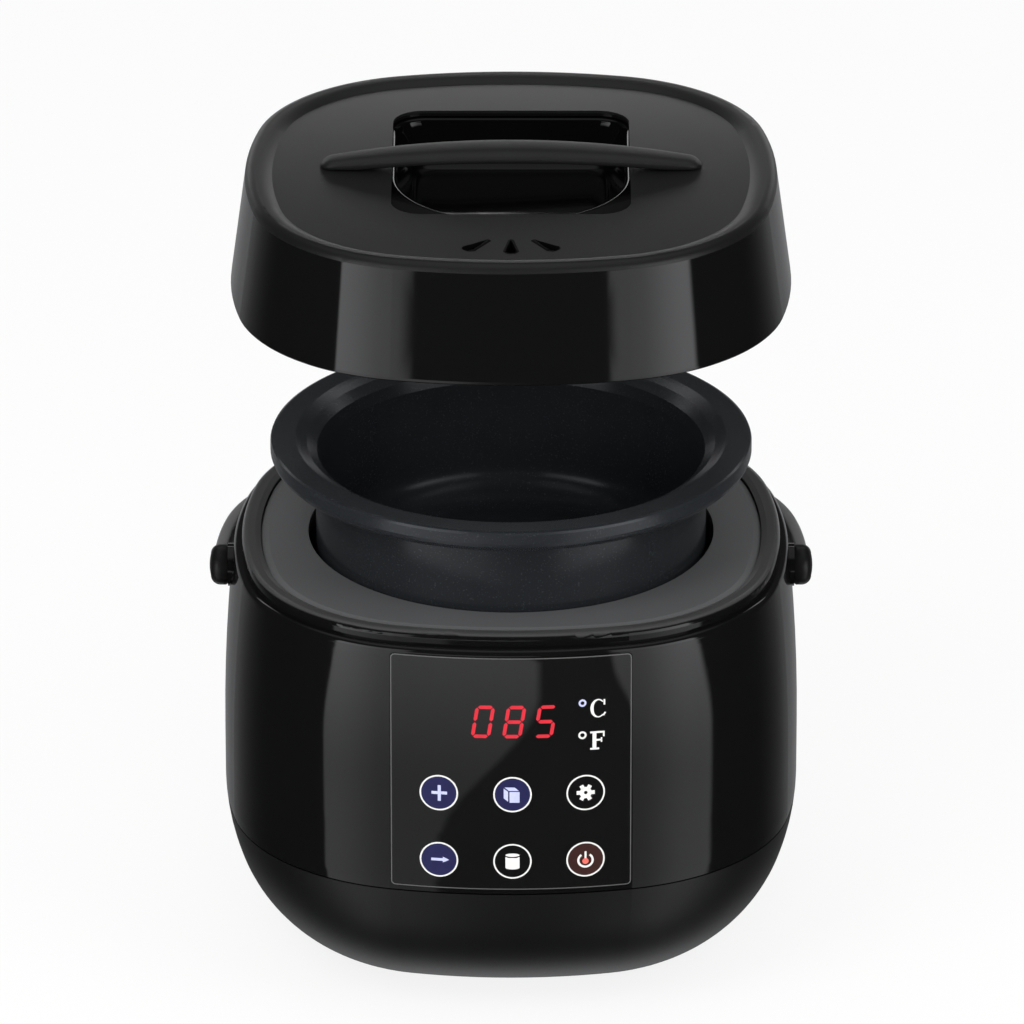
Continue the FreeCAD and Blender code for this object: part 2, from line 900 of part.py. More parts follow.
def pin_block(x, z, grow):
    face = pad_face + inlet_flange_thickness
    return block(x - 1 - grow, x + 1 + grow, pad_face - inlet_body_depth - 7, face - 3,
                 inlet_height + z - 2 - grow, inlet_height + z + 2 + grow)


def inlet_pins():
    return group([pin_block(x, z, 0) for x, z in pin_places()])


def inlet_screws():
    face = pad_face + inlet_flange_thickness
    screws = []
    for x in (-inlet_screw_reach, inlet_screw_reach):
        shank = rod_y(screw_radius, half_depth - 11, face, x, inlet_height)
        head = rod_y(screw_head_radius, face, face + 1.4, x, inlet_height)
        screws.append(joined(shank, head))
    return group(screws)


def bail_handle():
    """U-shaped strap with a ring at each end, drawn level and then drooped behind the body."""
    outer = bail_inner + bail_thickness
    straight = bail_reach - bail_corner_radius
    inner_corner = bail_corner_radius - bail_thickness
    inner_reach = bail_reach - bail_bar_thickness
    turn = math.sqrt(0.5)
    outer_x = outer - bail_corner_radius
    inner_x = bail_inner - inner_corner
    inner_y = inner_reach - inner_corner
    path = strokes(
        (outer, 0),
        (outer, straight),
        (outer_x + bail_corner_radius * turn, straight + bail_corner_radius * turn, outer_x, bail_reach),
        (-outer_x, bail_reach),
        (-outer_x - bail_corner_radius * turn, straight + bail_corner_radius * turn, -outer, straight),
        (-outer, 0),
        (-bail_inner, 0),
        (-bail_inner, inner_y),
        (-inner_x - inner_corner * turn, inner_y + inner_corner * turn, -inner_x, inner_reach),
        (inner_x, inner_reach),
        (inner_x + inner_corner * turn, inner_y + inner_corner * turn, bail_inner, inner_y),
        (bail_inner, 0),
        (outer, 0),
    )
    face = closed_face(path)
    face.rotate(ORIGIN, RIGHT, 90)
    face = face.mirror(ORIGIN, BACK)
    strap = face.extrude(Vector(0, 0, bail_strap_height))
    strap.translate(Vector(0, 0, -bail_strap_height / 2))
    long_edges = [edge for edge in strap.Edges if bail_long_edge(edge)]
    strap = strap.makeFillet(1.2, long_edges)
    eyes = [rod_x(bail_eye_radius, bail_inner, outer, 0, 0), rod_x(bail_eye_radius, -outer, -bail_inner, 0, 0)]
    bail = joined(strap, *eyes).cut(rod_x(pin_radius + running_clearance, -outer - 1, outer + 1, 0, 0))
    bail.rotate(ORIGIN, RIGHT, -bail_droop)
    bail.translate(Vector(0, 0, pivot_height))
    return one_solid(bail)


def bail_long_edge(edge):
    """True for the strap's edges that run along it and clear of the rings."""
    ends = [vertex.Point for vertex in edge.Vertexes]
    level = abs(abs(ends[0].z) - bail_strap_height / 2) < 0.01 and abs(ends[0].z - ends[1].z) < 0.01
    across = abs(ends[0].y) < 0.01 and abs(ends[1].y) < 0.01
    return level and not across


def pivot_caps():
    """Domed caps over the pin heads, one at each end of the bail."""
    outer = bail_inner + bail_thickness
    dome = 1.6
    recess = pin_head_radius + 0.5
    inner_face = knob_reach - 1.4
    cap = closed_face(strokes(
        (recess, outer),
        (bail_eye_radius, outer),
        (bail_eye_radius, knob_reach - dome),
        (bail_eye_radius - 1.2, knob_reach - 0.45, bail_eye_radius - 3.5, knob_reach),
        (0, knob_reach),
        (0, inner_face),
        (recess, inner_face),
        (recess, outer),
    )).revolve(ORIGIN, UP, 360)
    cap.rotate(ORIGIN, BACK, 90)
    cap.translate(Vector(0, 0, pivot_height))
    return group([cap, mirrored(cap)])


def pivot_pins():
    """Shoulder pins: fast in the shell's boss, running in the bail's ring."""
    outer = bail_inner + bail_thickness
    shank = rod_x(pin_radius, half_width - 12, outer + 0.2, 0, pivot_height)
    head = rod_x(pin_head_radius, outer + 0.2, outer + 1.6, 0, pivot_height)
    pin = joined(shank, head)
    return group([pin, mirrored(pin)])


def melting_pot():
    """Cast pot with a rolled flange, heights counted from the flange's seat."""
    seat = plate_height + flange_seat_gap
    bottom = heater_top + 0.4 + pot_seat_gap - seat
    inner_radius = pot_outer_radius - pot_wall
    inner_corner = pot_corner_radius - pot_wall
    inner_bottom = bottom + pot_bottom_thickness
    turn = 1 - math.sqrt(0.5)
    top = flange_height
    foot = flange_radius - 3.2
    channel_out = foot - 3.0
    channel_in = pot_outer_radius + 5.0
    channel_top = 5.0
    pot = turned(
        (0, bottom),
        (pot_outer_radius - pot_corner_radius, bottom),
        (pot_outer_radius - pot_corner_radius * turn, bottom + pot_corner_radius * turn,
         pot_outer_radius, bottom + pot_corner_radius),
        (pot_outer_radius, channel_top - 4),
        (pot_outer_radius + 1.2, channel_top - 1.2),
        (channel_in, channel_top),
        (channel_out, channel_top),
        (channel_out, 0),
        (foot, 0),
        (flange_radius - 0.6, 2.6),
        (flange_radius, 4.2),
        (flange_radius, top - 1.4),
        (flange_radius - 0.4, top - 0.4),
        (flange_radius - 1.4, top),
        (lip_radius, top),
        (lip_radius - 1.4, top - 0.7),
        (mouth_radius + 0.8, top - lip_drop),
        (inner_radius + 1.2, top - lip_drop - 3.0),
        (inner_radius, top - lip_drop - 8.0),
        (inner_radius, inner_bottom + inner_corner),
        (inner_radius - inner_corner * turn, inner_bottom + inner_corner * turn,
         inner_radius - inner_corner, inner_bottom),
        (0, inner_bottom),
    )
    return moved(pot, seat + pot_lift)


def lid_shell():
    """Skirt with a drafted wall, rounded rim and flat face, with the well's opening and three vents."""
    bottom = -lid_bottom_inset
    top = -lid_top_inset
    crest = top - 4.6
    rim_end = top - lid_rim_width
    under = lid_face_height - lid_wall
    band = 40.0
    inner_top = top - lid_wall + 0.3
    skirt = carry(outline_profile(
        (bottom, 0.6),
        (bottom - 0.1, 0.6 + 1.0),
        (top, lid_skirt_height),
        (top - 1.2, lid_crest_height - 0.9, crest, lid_crest_height),
        (top - 8.2, lid_crest_height - 0.6, rim_end, lid_face_height),
        (-band, lid_face_height),
        (-band, under),
        (inner_top - 4, under),
        (inner_top - 0.9, under - 1.1, inner_top, under - 4.2),
        (bottom - lid_wall, 0),
        (bottom - 0.6, 0),
    ))
    shell = joined(skirt, slab(-band, under, lid_face_height))
    posts = [
        disc(lid_post_radius, liner_height + liner_thickness, under + 1, x, y) for x, y in lid_post_places()
    ]
    shell = joined(shell, *posts)
    half = well_width / 2
    opening = rounded_plate(-half, half, -well_front, well_back, well_corner, under - 5, lid_face_height + 5)
    cuts = [opening] + vents()
    cuts += [disc(1.3, liner_height, liner_height + 12, x, y) for x, y in lid_post_places()]
    cuts += [
        disc(screw_radius, under - 1, lid_face_height + 1, x, bar_place)
        for x in (-bar_screw_reach(), bar_screw_reach())
    ]
    return one_solid(shell.cut(cuts))


def lid_post_places():
    return [(x, y) for x in (-lid_post_x, lid_post_x) for y in (-lid_post_y, lid_post_y)]


def bar_screw_reach():
    return (bar_length - bar_foot) / 2


def vents():
    """Three teardrop slots that fan out towards the front."""
    slots = []
    round_end = vent_length - vent_radius
    reach = math.asin(vent_radius / round_end)
    touch_x = vent_radius * math.cos(reach)
    touch_y = -round_end + vent_radius * math.sin(reach)
    for side in (-1, 0, 1):
        tip = Vector(0, 0, 0)
        left = Vector(-touch_x, touch_y, 0)
        right = Vector(touch_x, touch_y, 0)
        end = Vector(0, -vent_length, 0)
        edges = [Part.makeLine(tip, left), Part.Arc(left, end, right).toShape(), Part.makeLine(right, tip)]
        slot = Part.Face(Part.Wire(edges)).extrude(Vector(0, 0, 12))
        slot.rotate(ORIGIN, UP, side * vent_turn)
        slot.translate(Vector(side * vent_spread, -vent_tip_place, lid_face_height - 6))
        slots.append(slot)
    return slots


def well_wire(inset, height):
    """D-shaped outline of the well: a half circle in front, two rounded corners at the back."""
    radius = well_width / 2 - inset
    centre_y = well_width / 2 - well_front
    back = well_back - inset
    corner = max(well_corner - inset / 2, 2.0)
    turn = corner * math.sqrt(0.5)
    right = Vector(radius, centre_y, height)
    left = Vector(-radius, centre_y, height)
    edges = [
        Part.Arc(left, Vector(0, centre_y - radius, height), right).toShape(),
        Part.makeLine(right, Vector(radius, back - corner, height)),
        Part.Arc(Vector(radius, back - corner, height),
                 Vector(radius - corner + turn, back - corner + turn, height),
                 Vector(radius - corner, back, height)).toShape(),
        Part.makeLine(Vector(radius - corner, back, height), Vector(corner - radius, back, height)),
        Part.Arc(Vector(corner - radius, back, height),
                 Vector(corner - radius - turn, back - corner + turn, height),
                 Vector(-radius, back - corner, height)).toShape(),
        Part.makeLine(Vector(-radius, back - corner, height), left),
    ]
    return Part.Wire(edges)


def lid_well():
    """Finger well: a square collar in the lid's face with a D-shaped bowl hanging in it."""
    face = lid_face_height
    shelf = face - well_shelf
    floor = face - well_depth
    half = well_width / 2
    fit = well_fit
    under = face - lid_wall
    collar = rounded_plate(-half + fit, half - fit, -well_front + fit, well_back - fit,
                           well_corner - fit, shelf - well_wall, face - 0.4)
    flange = rounded_plate(-half - well_lip, half + well_lip, -well_front - well_lip, well_back + well_lip,
                           well_corner + well_lip, shelf - well_wall, under)
    outer = Part.makeLoft([well_wire(1.0, shelf - well_wall / 2), well_wire(well_draft, floor)], True)
    pocket = Part.makeLoft(
        [well_wire(1.0 + well_wall, face + 2), well_wire(well_draft + well_wall, floor + well_wall)], True)
    body = joined(collar, flange, outer)
    thin = 1.4
    upper = rounded_plate(-half + fit + thin, half - fit - thin, -well_front + fit + thin,
                          well_back - fit - thin, well_corner - fit - thin, shelf, face + 1)
    return one_solid(body.cut([pocket, upper]))


def lid_handle():
    """Arched bar across the well: widest in the middle, with a flat foot at each end."""
    half = bar_length / 2
    face = lid_face_height
    foot = half - bar_foot
    side = closed_face(strokes(
        (-half, face),
        (-half, face + bar_end_height),
        (0, face + bar_rise, half, face + bar_end_height),
        (half, face),
        (foot, face),
        (0, face + bar_rise - bar_thickness, -foot, face),
        (-half, face),
    ))
    side.translate(Vector(0, bar_place - bar_width, 0))
    arch = side.extrude(Vector(0, bar_width * 2, 0))
    wide = bar_width / 2
    end = bar_end_width / 2
    shoulder = half - end
    low = face - 1
    corners = [
        Vector(-shoulder, bar_place - end, low), Vector(shoulder, bar_place - end, low),
        Vector(shoulder, bar_place + end, low), Vector(-shoulder, bar_place + end, low),
    ]
    edges = [
        Part.Arc(corners[0], Vector(0, bar_place - wide, low), corners[1]).toShape(),
        Part.Arc(corners[1], Vector(half, bar_place, low), corners[2]).toShape(),
        Part.Arc(corners[2], Vector(0, bar_place + wide, low), corners[3]).toShape(),
        Part.Arc(corners[3], Vector(-half, bar_place, low), corners[0]).toShape(),
    ]
    plan = Part.Face(Part.Wire(edges)).extrude(Vector(0, 0, bar_rise * 2))
    bar = one_solid(arch.common(plan))
    pilots = [disc(screw_radius, face - 1, face + 2.0, x, bar_place) for x in (-bar_screw_reach(), bar_screw_reach())]
    return one_solid(bar.cut(pilots))


def handle_screws():
    under = lid_face_height - lid_wall
    screws = []
    for x in (-bar_screw_reach(), bar_screw_reach()):
        head = disc(screw_head_radius, under - screw_head_height, under, x, bar_place)
        shank = disc(screw_radius, under, lid_face_height + 1.8, x, bar_place)
        screws.append(joined(head, shank))
    return group(screws)


def lid_liner():
    """Inner plate of the lid with a turned-up edge and a steam hole under the vents."""
    top = liner_height + liner_thickness
    edge = -liner_inset
    band = 8.0
    rim = carry(outline_profile(
        (edge, liner_height),
        (edge, top + 5),
        (edge - liner_thickness, top + 5),
        (edge - liner_thickness, top),
        (edge - band, top),
        (edge - band, liner_height),
    ))
    plate = joined(rim, slab(edge - band, liner_height, top))
    holes = [disc(screw_radius, liner_height - 1, top + 1, x, y) for x, y in lid_post_places()]
    holes += [disc(3, liner_height - 1, top + 1, x, -60) for x in (-12, 0, 12)]
    return one_solid(plate.cut(holes))


def liner_screws():
    screws = []
    for x, y in lid_post_places():
        head = disc(2.6, liner_height - 1.2, liner_height, x, y)
        shank = disc(1.3, liner_height, liner_height + 9, x, y)
        screws.append(joined(head, shank))
    return group(screws)


def lid_gasket():
    """Silicone ring under the liner that meets the pot's flange."""
    low = liner_height - gasket_thickness
    ring = tube(gasket_outer_radius, gasket_inner_radius, low, liner_height)
    pockets = [disc(3.4, low - 1, liner_height + 1, x, y) for x, y in lid_post_places()]
    return one_solid(ring.cut(pockets))


lid_bottom = shoulder_height + lid_seat_gap + lid_lift

PIECES = {
    "outer_shell": outer_shell,
    "base_bowl": base_bowl,
    "base_cover": base_cover,
    "feet": feet,
    "base_screws": base_screws,
    "power_board": power_board,
    "power_relay": power_relay,
    "power_transformer": power_transformer,
    "power_capacitors": power_capacitors,
    "top_frame": top_frame,
    "top_plate": top_plate,
    "heating_chamber": heating_chamber,
    "insulation_sleeve": insulation_sleeve,
    "heating_plate": heating_plate,
    "plate_screws": plate_screws,
    "heater_terminals": heater_terminals,
    "sensor_cap": sensor_cap,
    "sensor_bracket": sensor_bracket,
    "sensor_spring": sensor_spring,
    "thermal_fuse": thermal_fuse,
    "fuse_clip": fuse_clip,
    "control_panel": control_panel,
    "display_module": display_module,
    "control_board": control_board,
    "board_screws": board_screws,
    "touch_springs": touch_springs,
    "power_inlet": power_inlet,
    "inlet_pins": inlet_pins,
    "inlet_screws": inlet_screws,
    "bail_handle": bail_handle,
    "pivot_caps": pivot_caps,
    "pivot_pins": pivot_pins,
    "melting_pot": melting_pot,
}

LID_PIECES = {
    "lid_shell": lid_shell,
    "lid_well": lid_well,
    "lid_handle": lid_handle,
    "handle_screws": handle_screws,
    "lid_liner": lid_liner,
    "liner_screws": liner_screws,
    "lid_gasket": lid_gasket,
}

os.makedirs("parts", exist_ok=True)
for name, make in PIECES.items():
    make().exportStep("parts/%s.step" % name)
for name, make in LID_PIECES.items():
    moved(make(), lid_bottom).exportStep("parts/%s.step" % name)
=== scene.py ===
"""Looks of the candle wax melter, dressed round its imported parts. Metres, +Z up, front towards -Y."""

import json
import math

import bmesh
import bpy
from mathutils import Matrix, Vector
from mathutils.bvhtree import BVHTree


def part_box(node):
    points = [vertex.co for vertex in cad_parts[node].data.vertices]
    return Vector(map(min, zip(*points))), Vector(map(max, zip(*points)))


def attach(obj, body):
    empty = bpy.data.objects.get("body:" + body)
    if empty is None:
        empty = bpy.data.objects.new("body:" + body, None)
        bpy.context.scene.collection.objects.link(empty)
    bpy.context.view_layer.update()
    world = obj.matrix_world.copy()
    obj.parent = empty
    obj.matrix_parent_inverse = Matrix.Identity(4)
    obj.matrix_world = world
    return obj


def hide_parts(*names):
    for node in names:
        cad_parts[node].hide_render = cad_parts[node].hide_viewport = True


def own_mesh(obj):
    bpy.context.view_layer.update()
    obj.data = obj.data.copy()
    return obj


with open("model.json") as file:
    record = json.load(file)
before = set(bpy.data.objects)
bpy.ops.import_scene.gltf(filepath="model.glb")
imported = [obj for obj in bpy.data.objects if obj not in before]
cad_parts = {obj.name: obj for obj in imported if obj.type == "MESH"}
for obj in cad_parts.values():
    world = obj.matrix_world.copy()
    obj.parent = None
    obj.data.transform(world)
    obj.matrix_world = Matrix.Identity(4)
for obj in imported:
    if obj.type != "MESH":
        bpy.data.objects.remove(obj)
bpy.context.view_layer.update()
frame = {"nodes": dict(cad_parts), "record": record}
MM = 0.001
WHITE = (1, 1, 1, 1)

# Camera: a long lens, looking down on the front
view_elevation = math.radians(24)
view_distance = 4.5
view_centre = Vector((0.4 * MM, 0, 182.5 * MM))
view_width = 426.7 * MM
sensor_width = 36.0

# Studio that the gloss mirrors, in degrees: a turn counts from the front to the right, a height from level.
# Edges and strengths read (from, to, value before, value after) over the height, fades and turns the same
# over the turn. Heights read (from, to, softness below, softness above).
left_light_outer_edge = (-20, -12, -66.0, -58.5)
left_light_low_edge = (-27, -15, -15.0, 7.0)
left_light_high_edge = (-13, -11, 0.0, -27.0)
left_light_softness = (2.0, 2.5)
left_light_fade = (-60, -20, 1.0, 0.45)
right_light_inner_edge = (-20, -12, 26.6, 20.0)
right_light_outer_edge = (-20, -12, 76.0, 66.0)
right_light_softness = (1.6, 4.0)
right_light_fade = (25, 60, 0.45, 1.0)
side_light_strength = (-23, -8, 0.8, 2.2)
side_light_heights = (-70.0, 30.0, 10.0, 12.0)
backdrop_turn = (106, 175, 0.0, 1.0)
backdrop_strength = (-26, -8, 0.2, 0.5)
backdrop_foot_strength = (-52, -32, 0.5, 0.0)
backdrop_heights = (-80.0, 12.0, 20.0, 12.0)
high_back_turn = (100, 150, 0.0, 1.0)
high_back_heights = (5.0, 60.0, 12.0, 20.0)
high_back_strength = 0.03
overhead_strength = (45, 65, 0.0, 0.35)
ambient_strength = 0.014
studio_tint = (0.97, 0.98, 1.0, 1)
fill_strength = 0.7
lamp_target = (0, 0, 0.2)
strip_target = (0, 0, 0.336)

# Floor: partly plain white, so that only a light shadow is left on it
floor_reach = 12.0
floor_tone = 0.92
floor_white_share = 0.85

# Lid: the polished skirt ends below the matt rim
lid_skirt_height = 46.4
face_wall = 2.4

# Panel: fields, display and unit signs, in millimetres
mark_lift = 0.05
mark_depth = 0.12
ring_outer_radius = 7.9
ring_line = 0.65
touch_columns = (-29.6, 0.6, 30.6)
touch_rows = (108.3, 78.1)
digit_height = 14.2
digit_width = 8.0
digit_pitch = 12.8
digit_line = 1.5
digit_gap = 0.25
digit_slant = math.radians(9)
display_centre = (1.3, 140.4)
unit_x = 31.6
unit_rows = (145.2, 131.2)
unit_height = 8.0
degree_shift = -2.4
degree_rise = 2.6
# Painted highlight along the panel's edge: width of its lighter line, its inset and its corner radius
panel_edge_line = 0.45
panel_edge_inset = 0.15
panel_corner = 2.0

# Outline of the housing: shallow arcs joined by corner arcs, seen from above
bow_radius = 228.0
corner_radius = 86.0

# Bail: a strap round the back of the housing, from knob to knob
bail_half_width = 118.4
bail_half_depth = 116.4
bail_thickness = 5.6
bail_height = 10.0
bail_droop = math.radians(3)
bail_step = math.radians(260)
bail_face_roundness = 0.55
bail_edge_roundness = 0.35
knob_radius = 8.5
knob_corner = 4.0
knob_dome = 0.5
knob_sink = 1.0
knob_bevel = 1.5

# Steam vents in the lid's face: a dished lip round each drop-shaped slot
vent_spread = 9.4
vent_place = 75.2
vent_angle = 42.0
vent_reach = 10.4
vent_tip_radius = 1.2
vent_end_radius = 3.2
vent_bevel = 0.2
vent_sink = 0.05
vent_stand = 0.1
slot_place = 74.3
slot_reach = 11.5
slot_tip_radius = 0.1
slot_end_radius = 2.55
slot_stand = 0.03
slot_depth = 1.8

# Coil under the sensor's cap
spring_wire = 1.2
spring_turns = 6

# Finger well in the lid
well_radius = 49.0
well_front = 47.0
well_back = 66.0
well_corner = 13.0
well_least_corner = 3.0
well_flange = 2.0
well_flange_gap = 0.05
well_shelf = 3.0
well_lip = 1.8
well_overlap = 0.2
well_depth = 22.0
well_draft = 8.0
well_floor_turn = 5.0

# Bar across the well: widest in the middle, with a crowned back and blunt ends
bar_half_length = 78.5
bar_end_width = 12.0
bar_end_height = 3.0
bar_end_drop = 0.7
bar_thickness = 5.4
bar_crown = 3.4
bar_taper = 2.2
bar_tip_share = 0.02
bar_sink = 0.2
bar_least_side = 0.4
bar_side_roundness = 0.7
bar_back_roundness = 0.9
bar_foot_roundness = 0.45

# Fineness of the curved forms
bail_section_points = 20
turned_points = 48
knob_corner_steps = 8
knob_dome_steps = 5
drop_tip_points = 13
drop_end_points = 21
spring_turn_steps = 32
spring_wire_points = 10
bar_steps = 72
bar_section_points = 32
well_corner_points = 17
well_front_points = 65
well_lip_steps = 6
well_wall_steps = 8


# Camera


def make_camera():
    data = bpy.data.cameras.new("camera")
    data.sensor_width = sensor_width
    data.lens = sensor_width * view_distance / view_width
    data.clip_start = 0.1
    data.clip_end = 60
    camera = bpy.data.objects.new("camera", data)
    back = Vector((0, -math.cos(view_elevation), math.sin(view_elevation)))
    camera.location = view_centre + back * view_distance
    camera.rotation_mode = "QUATERNION"
    camera.rotation_quaternion = (-back).to_track_quat("-Z", "Y")
    bpy.context.scene.collection.objects.link(camera)
    bpy.context.scene.camera = camera


# Node helpers


def put(tree, socket, value):
    """Set a socket to a number or colour, or link an output to it."""
    if isinstance(value, bpy.types.NodeSocket):
        tree.links.new(value, socket)
    else:
        socket.default_value = value


def math_node(tree, operation, value, *others):
    """Result of an operation on one value, or on several taken one after the other."""
    for other in others or (None,):
        node = tree.nodes.new("ShaderNodeMath")
        node.operation = operation
        put(tree, node.inputs[0], value)
        if other is not None:
            put(tree, node.inputs[1], other)
        value = node.outputs[0]
    return value


def ramp(tree, value, low, high, start=0.0, end=1.0):
    """Smooth step of a value from start at low to end at high."""
    node = tree.nodes.new("ShaderNodeMapRange")
    node.interpolation_type = "SMOOTHSTEP"
    put(tree, node.inputs["Value"], value)
    put(tree, node.inputs["From Min"], low)
    put(tree, node.inputs["From Max"], high)
    put(tree, node.inputs["To Min"], start)
    put(tree, node.inputs["To Max"], end)
    return node.outputs["Result"]


def window(tree, value, low, high, soft_low, soft_high):
    """One between low and high, with a soft edge at each end."""
    rise = ramp(tree, value, low, math_node(tree, "ADD", low, soft_low))
    fall = ramp(tree, value, math_node(tree, "SUBTRACT", high, soft_high), high, 1.0, 0.0)
    return math_node(tree, "MULTIPLY", rise, fall)


def mix_colour(tree, factor, first, second):
    node = tree.nodes.new("ShaderNodeMix")
    node.data_type = "RGBA"
    put(tree, node.inputs["Factor"], factor)
    put(tree, node.inputs["A"], first)
    put(tree, node.inputs["B"], second)
    return node.outputs["Result"]


def mix_shader(tree, factor, first, second):
    node = tree.nodes.new("ShaderNodeMixShader")
    put(tree, node.inputs[0], factor)
    tree.links.new(first, node.inputs[1])
    tree.links.new(second, node.inputs[2])
    return node.outputs[0]


def background(tree, colour, strength):
    node = tree.nodes.new("ShaderNodeBackground")
    node.inputs["Color"].default_value = colour
    put(tree, node.inputs["Strength"], strength)
    return node.outputs[0]


def axes(tree, vector):
    """The three coordinates of a vector."""
    split = tree.nodes.new("ShaderNodeSeparateXYZ")
    tree.links.new(vector, split.inputs[0])
    return split.outputs


def own_place(tree):
    """Place on a piece, in the piece's own coordinates."""
    return tree.nodes.new("ShaderNodeTexCoord").outputs["Object"]


def noise(tree, scale, detail=3.0, roughness=0.5):
    """Noise over a piece; the scale is in cells per metre."""
    node = tree.nodes.new("ShaderNodeTexNoise")
    tree.links.new(own_place(tree), node.inputs["Vector"])
    node.inputs["Scale"].default_value = scale
    node.inputs["Detail"].default_value = detail
    node.inputs["Roughness"].default_value = roughness
    return node.outputs["Fac"]


def slow_drift(tree, scale=38):
    """Broad, faint change over a surface."""
    return noise(tree, scale, 4.0)


def fine_grain(tree, scale):
    """Moulded or eroded grain of a surface."""
    return noise(tree, scale, 3.0, 0.6)


# Light


def studio_level(tree):
    """Strength of the studio in a direction, from its turn and its height."""
    x, y, z = axes(tree, tree.nodes.new("ShaderNodeTexCoord").outputs["Generated"])
    forward = math_node(tree, "MULTIPLY", y, -1.0)
    turn = math_node(tree, "DEGREES", math_node(tree, "ARCTAN2", x, forward))
    height = math_node(tree, "DEGREES", math_node(tree, "ARCSINE", z))
    away = math_node(tree, "ABSOLUTE", turn)

    left_inner = math_node(
        tree, "ADD", ramp(tree, height, *left_light_low_edge), ramp(tree, height, *left_light_high_edge)
    )
    left = window(tree, turn, ramp(tree, height, *left_light_outer_edge), left_inner, *left_light_softness)
    right_inner = ramp(tree, height, *right_light_inner_edge)
    right_outer = ramp(tree, height, *right_light_outer_edge)
    right = window(tree, turn, right_inner, right_outer, *right_light_softness)
    sides = math_node(
        tree, "ADD",
        math_node(tree, "MULTIPLY", left, ramp(tree, turn, *left_light_fade)),
        math_node(tree, "MULTIPLY", right, ramp(tree, turn, *right_light_fade)),
    )
    side_lights = math_node(
        tree, "MULTIPLY", sides, ramp(tree, height, *side_light_strength),
        window(tree, height, *side_light_heights)
    )
    backdrop_level = math_node(
        tree, "ADD", ramp(tree, height, *backdrop_strength), ramp(tree, height, *backdrop_foot_strength)
    )
    backdrop = math_node(
        tree, "MULTIPLY", ramp(tree, away, *backdrop_turn), backdrop_level,
        window(tree, height, *backdrop_heights)
    )
    high_back = math_node(
        tree, "MULTIPLY", ramp(tree, away, *high_back_turn), window(tree, height, *high_back_heights),
        high_back_strength
    )
    overhead = ramp(tree, height, *overhead_strength)
    return math_node(tree, "ADD", side_lights, backdrop, overhead, high_back, ambient_strength)


def make_world():
    """White for the camera; round the gloss a dim studio with soft lights left, right and overhead."""
    world = bpy.data.worlds.new("studio")
    bpy.context.scene.world = world
    world.use_nodes = True
    tree = world.node_tree
    tree.nodes.clear()

    gloss = background(tree, studio_tint, studio_level(tree))
    fill = background(tree, WHITE, fill_strength)
    white = background(tree, WHITE, 1.0)
    path = tree.nodes.new("ShaderNodeLightPath")
    seen = math_node(tree, "MAXIMUM", path.outputs["Is Camera Ray"], path.outputs["Is Transmission Ray"])
    lit = mix_shader(tree, path.outputs["Is Glossy Ray"], fill, gloss)
    output = tree.nodes.new("ShaderNodeOutputWorld")
    tree.links.new(mix_shader(tree, seen, lit, white), output.inputs["Surface"])


def soft_light(name, place, target, width, height, power, in_gloss):
    """Rectangular lamp that points at a target."""
    data = bpy.data.lights.new(name, "AREA")
    data.shape = "RECTANGLE"
    data.size = width
    data.size_y = height
    data.energy = power
    lamp = bpy.data.objects.new(name, data)
    lamp.location = place
    lamp.rotation_mode = "QUATERNION"
    lamp.rotation_quaternion = (Vector(target) - Vector(place)).to_track_quat("-Z", "Y")
    lamp.visible_camera = False
    lamp.visible_glossy = in_gloss
    bpy.context.scene.collection.objects.link(lamp)


def make_lights():
    """Three broad lamps that no gloss mirrors, and a low strip behind the lid that its face does mirror."""
    soft_light("key", (-0.9, -1.1, 1.7), lamp_target, 1.0, 1.0, 14, False)
    soft_light("fill", (1.2, -0.9, 1.4), lamp_target, 1.0, 1.0, 8, False)
    soft_light("back_strip", (0, 0.205, 0.374), strip_target, 0.5, 0.03, 0.075, True)
    soft_light("front", (0, -1.7, 0.8), lamp_target, 0.9, 0.6, 9, False)


def make_floor():
    """Pale floor that keeps the object's shadow."""
    mesh = bpy.data.meshes.new("floor")
    corners = [(x * floor_reach, y * floor_reach, 0) for x, y in ((-1, -1), (1, -1), (1, 1), (-1, 1))]
    mesh.from_pydata(corners, [], [(0, 1, 2, 3)])
    floor = bpy.data.objects.new("floor", mesh)
    bpy.context.scene.collection.objects.link(floor)
    floor.visible_glossy = False

    material = bpy.data.materials.new("floor")
    material.use_nodes = True
    tree = material.node_tree
    tree.nodes.clear()
    diffuse = tree.nodes.new("ShaderNodeBsdfDiffuse")
    diffuse.inputs["Color"].default_value = grey(floor_tone)
    white = tree.nodes.new("ShaderNodeEmission")
    white.inputs["Color"].default_value = WHITE
    white.inputs["Strength"].default_value = 1.0
    rays = tree.nodes.new("ShaderNodeLightPath").outputs
    seen = math_node(
        tree, "MAXIMUM", rays["Is Camera Ray"], rays["Is Glossy Ray"], rays["Is Transmission Ray"]
    )
    share = math_node(tree, "MULTIPLY", seen, floor_white_share)
    output = tree.nodes.new("ShaderNodeOutputMaterial")
    tree.links.new(mix_shader(tree, share, diffuse.outputs[0], white.outputs[0]), output.inputs["Surface"])
    mesh.materials.append(material)


# Materials


def grey(level, warmth=0.0):
    return (level * (1 + warmth), level, level * (1 - warmth), 1)


def principled(name):
    material = bpy.data.materials.new(name)
    material.use_nodes = True
    tree = material.node_tree
    return material, tree, tree.nodes["Principled BSDF"]


def add_bump(tree, shader, height, distance):
    """Lift the surface by up to a distance in metres where the height is one."""
    bump = tree.nodes.new("ShaderNodeBump")
    bump.inputs["Strength"].default_value = 1.0
    bump.inputs["Distance"].default_value = distance
    put(tree, bump.inputs["Height"], height)
    tree.links.new(bump.outputs["Normal"], shader.inputs["Normal"])


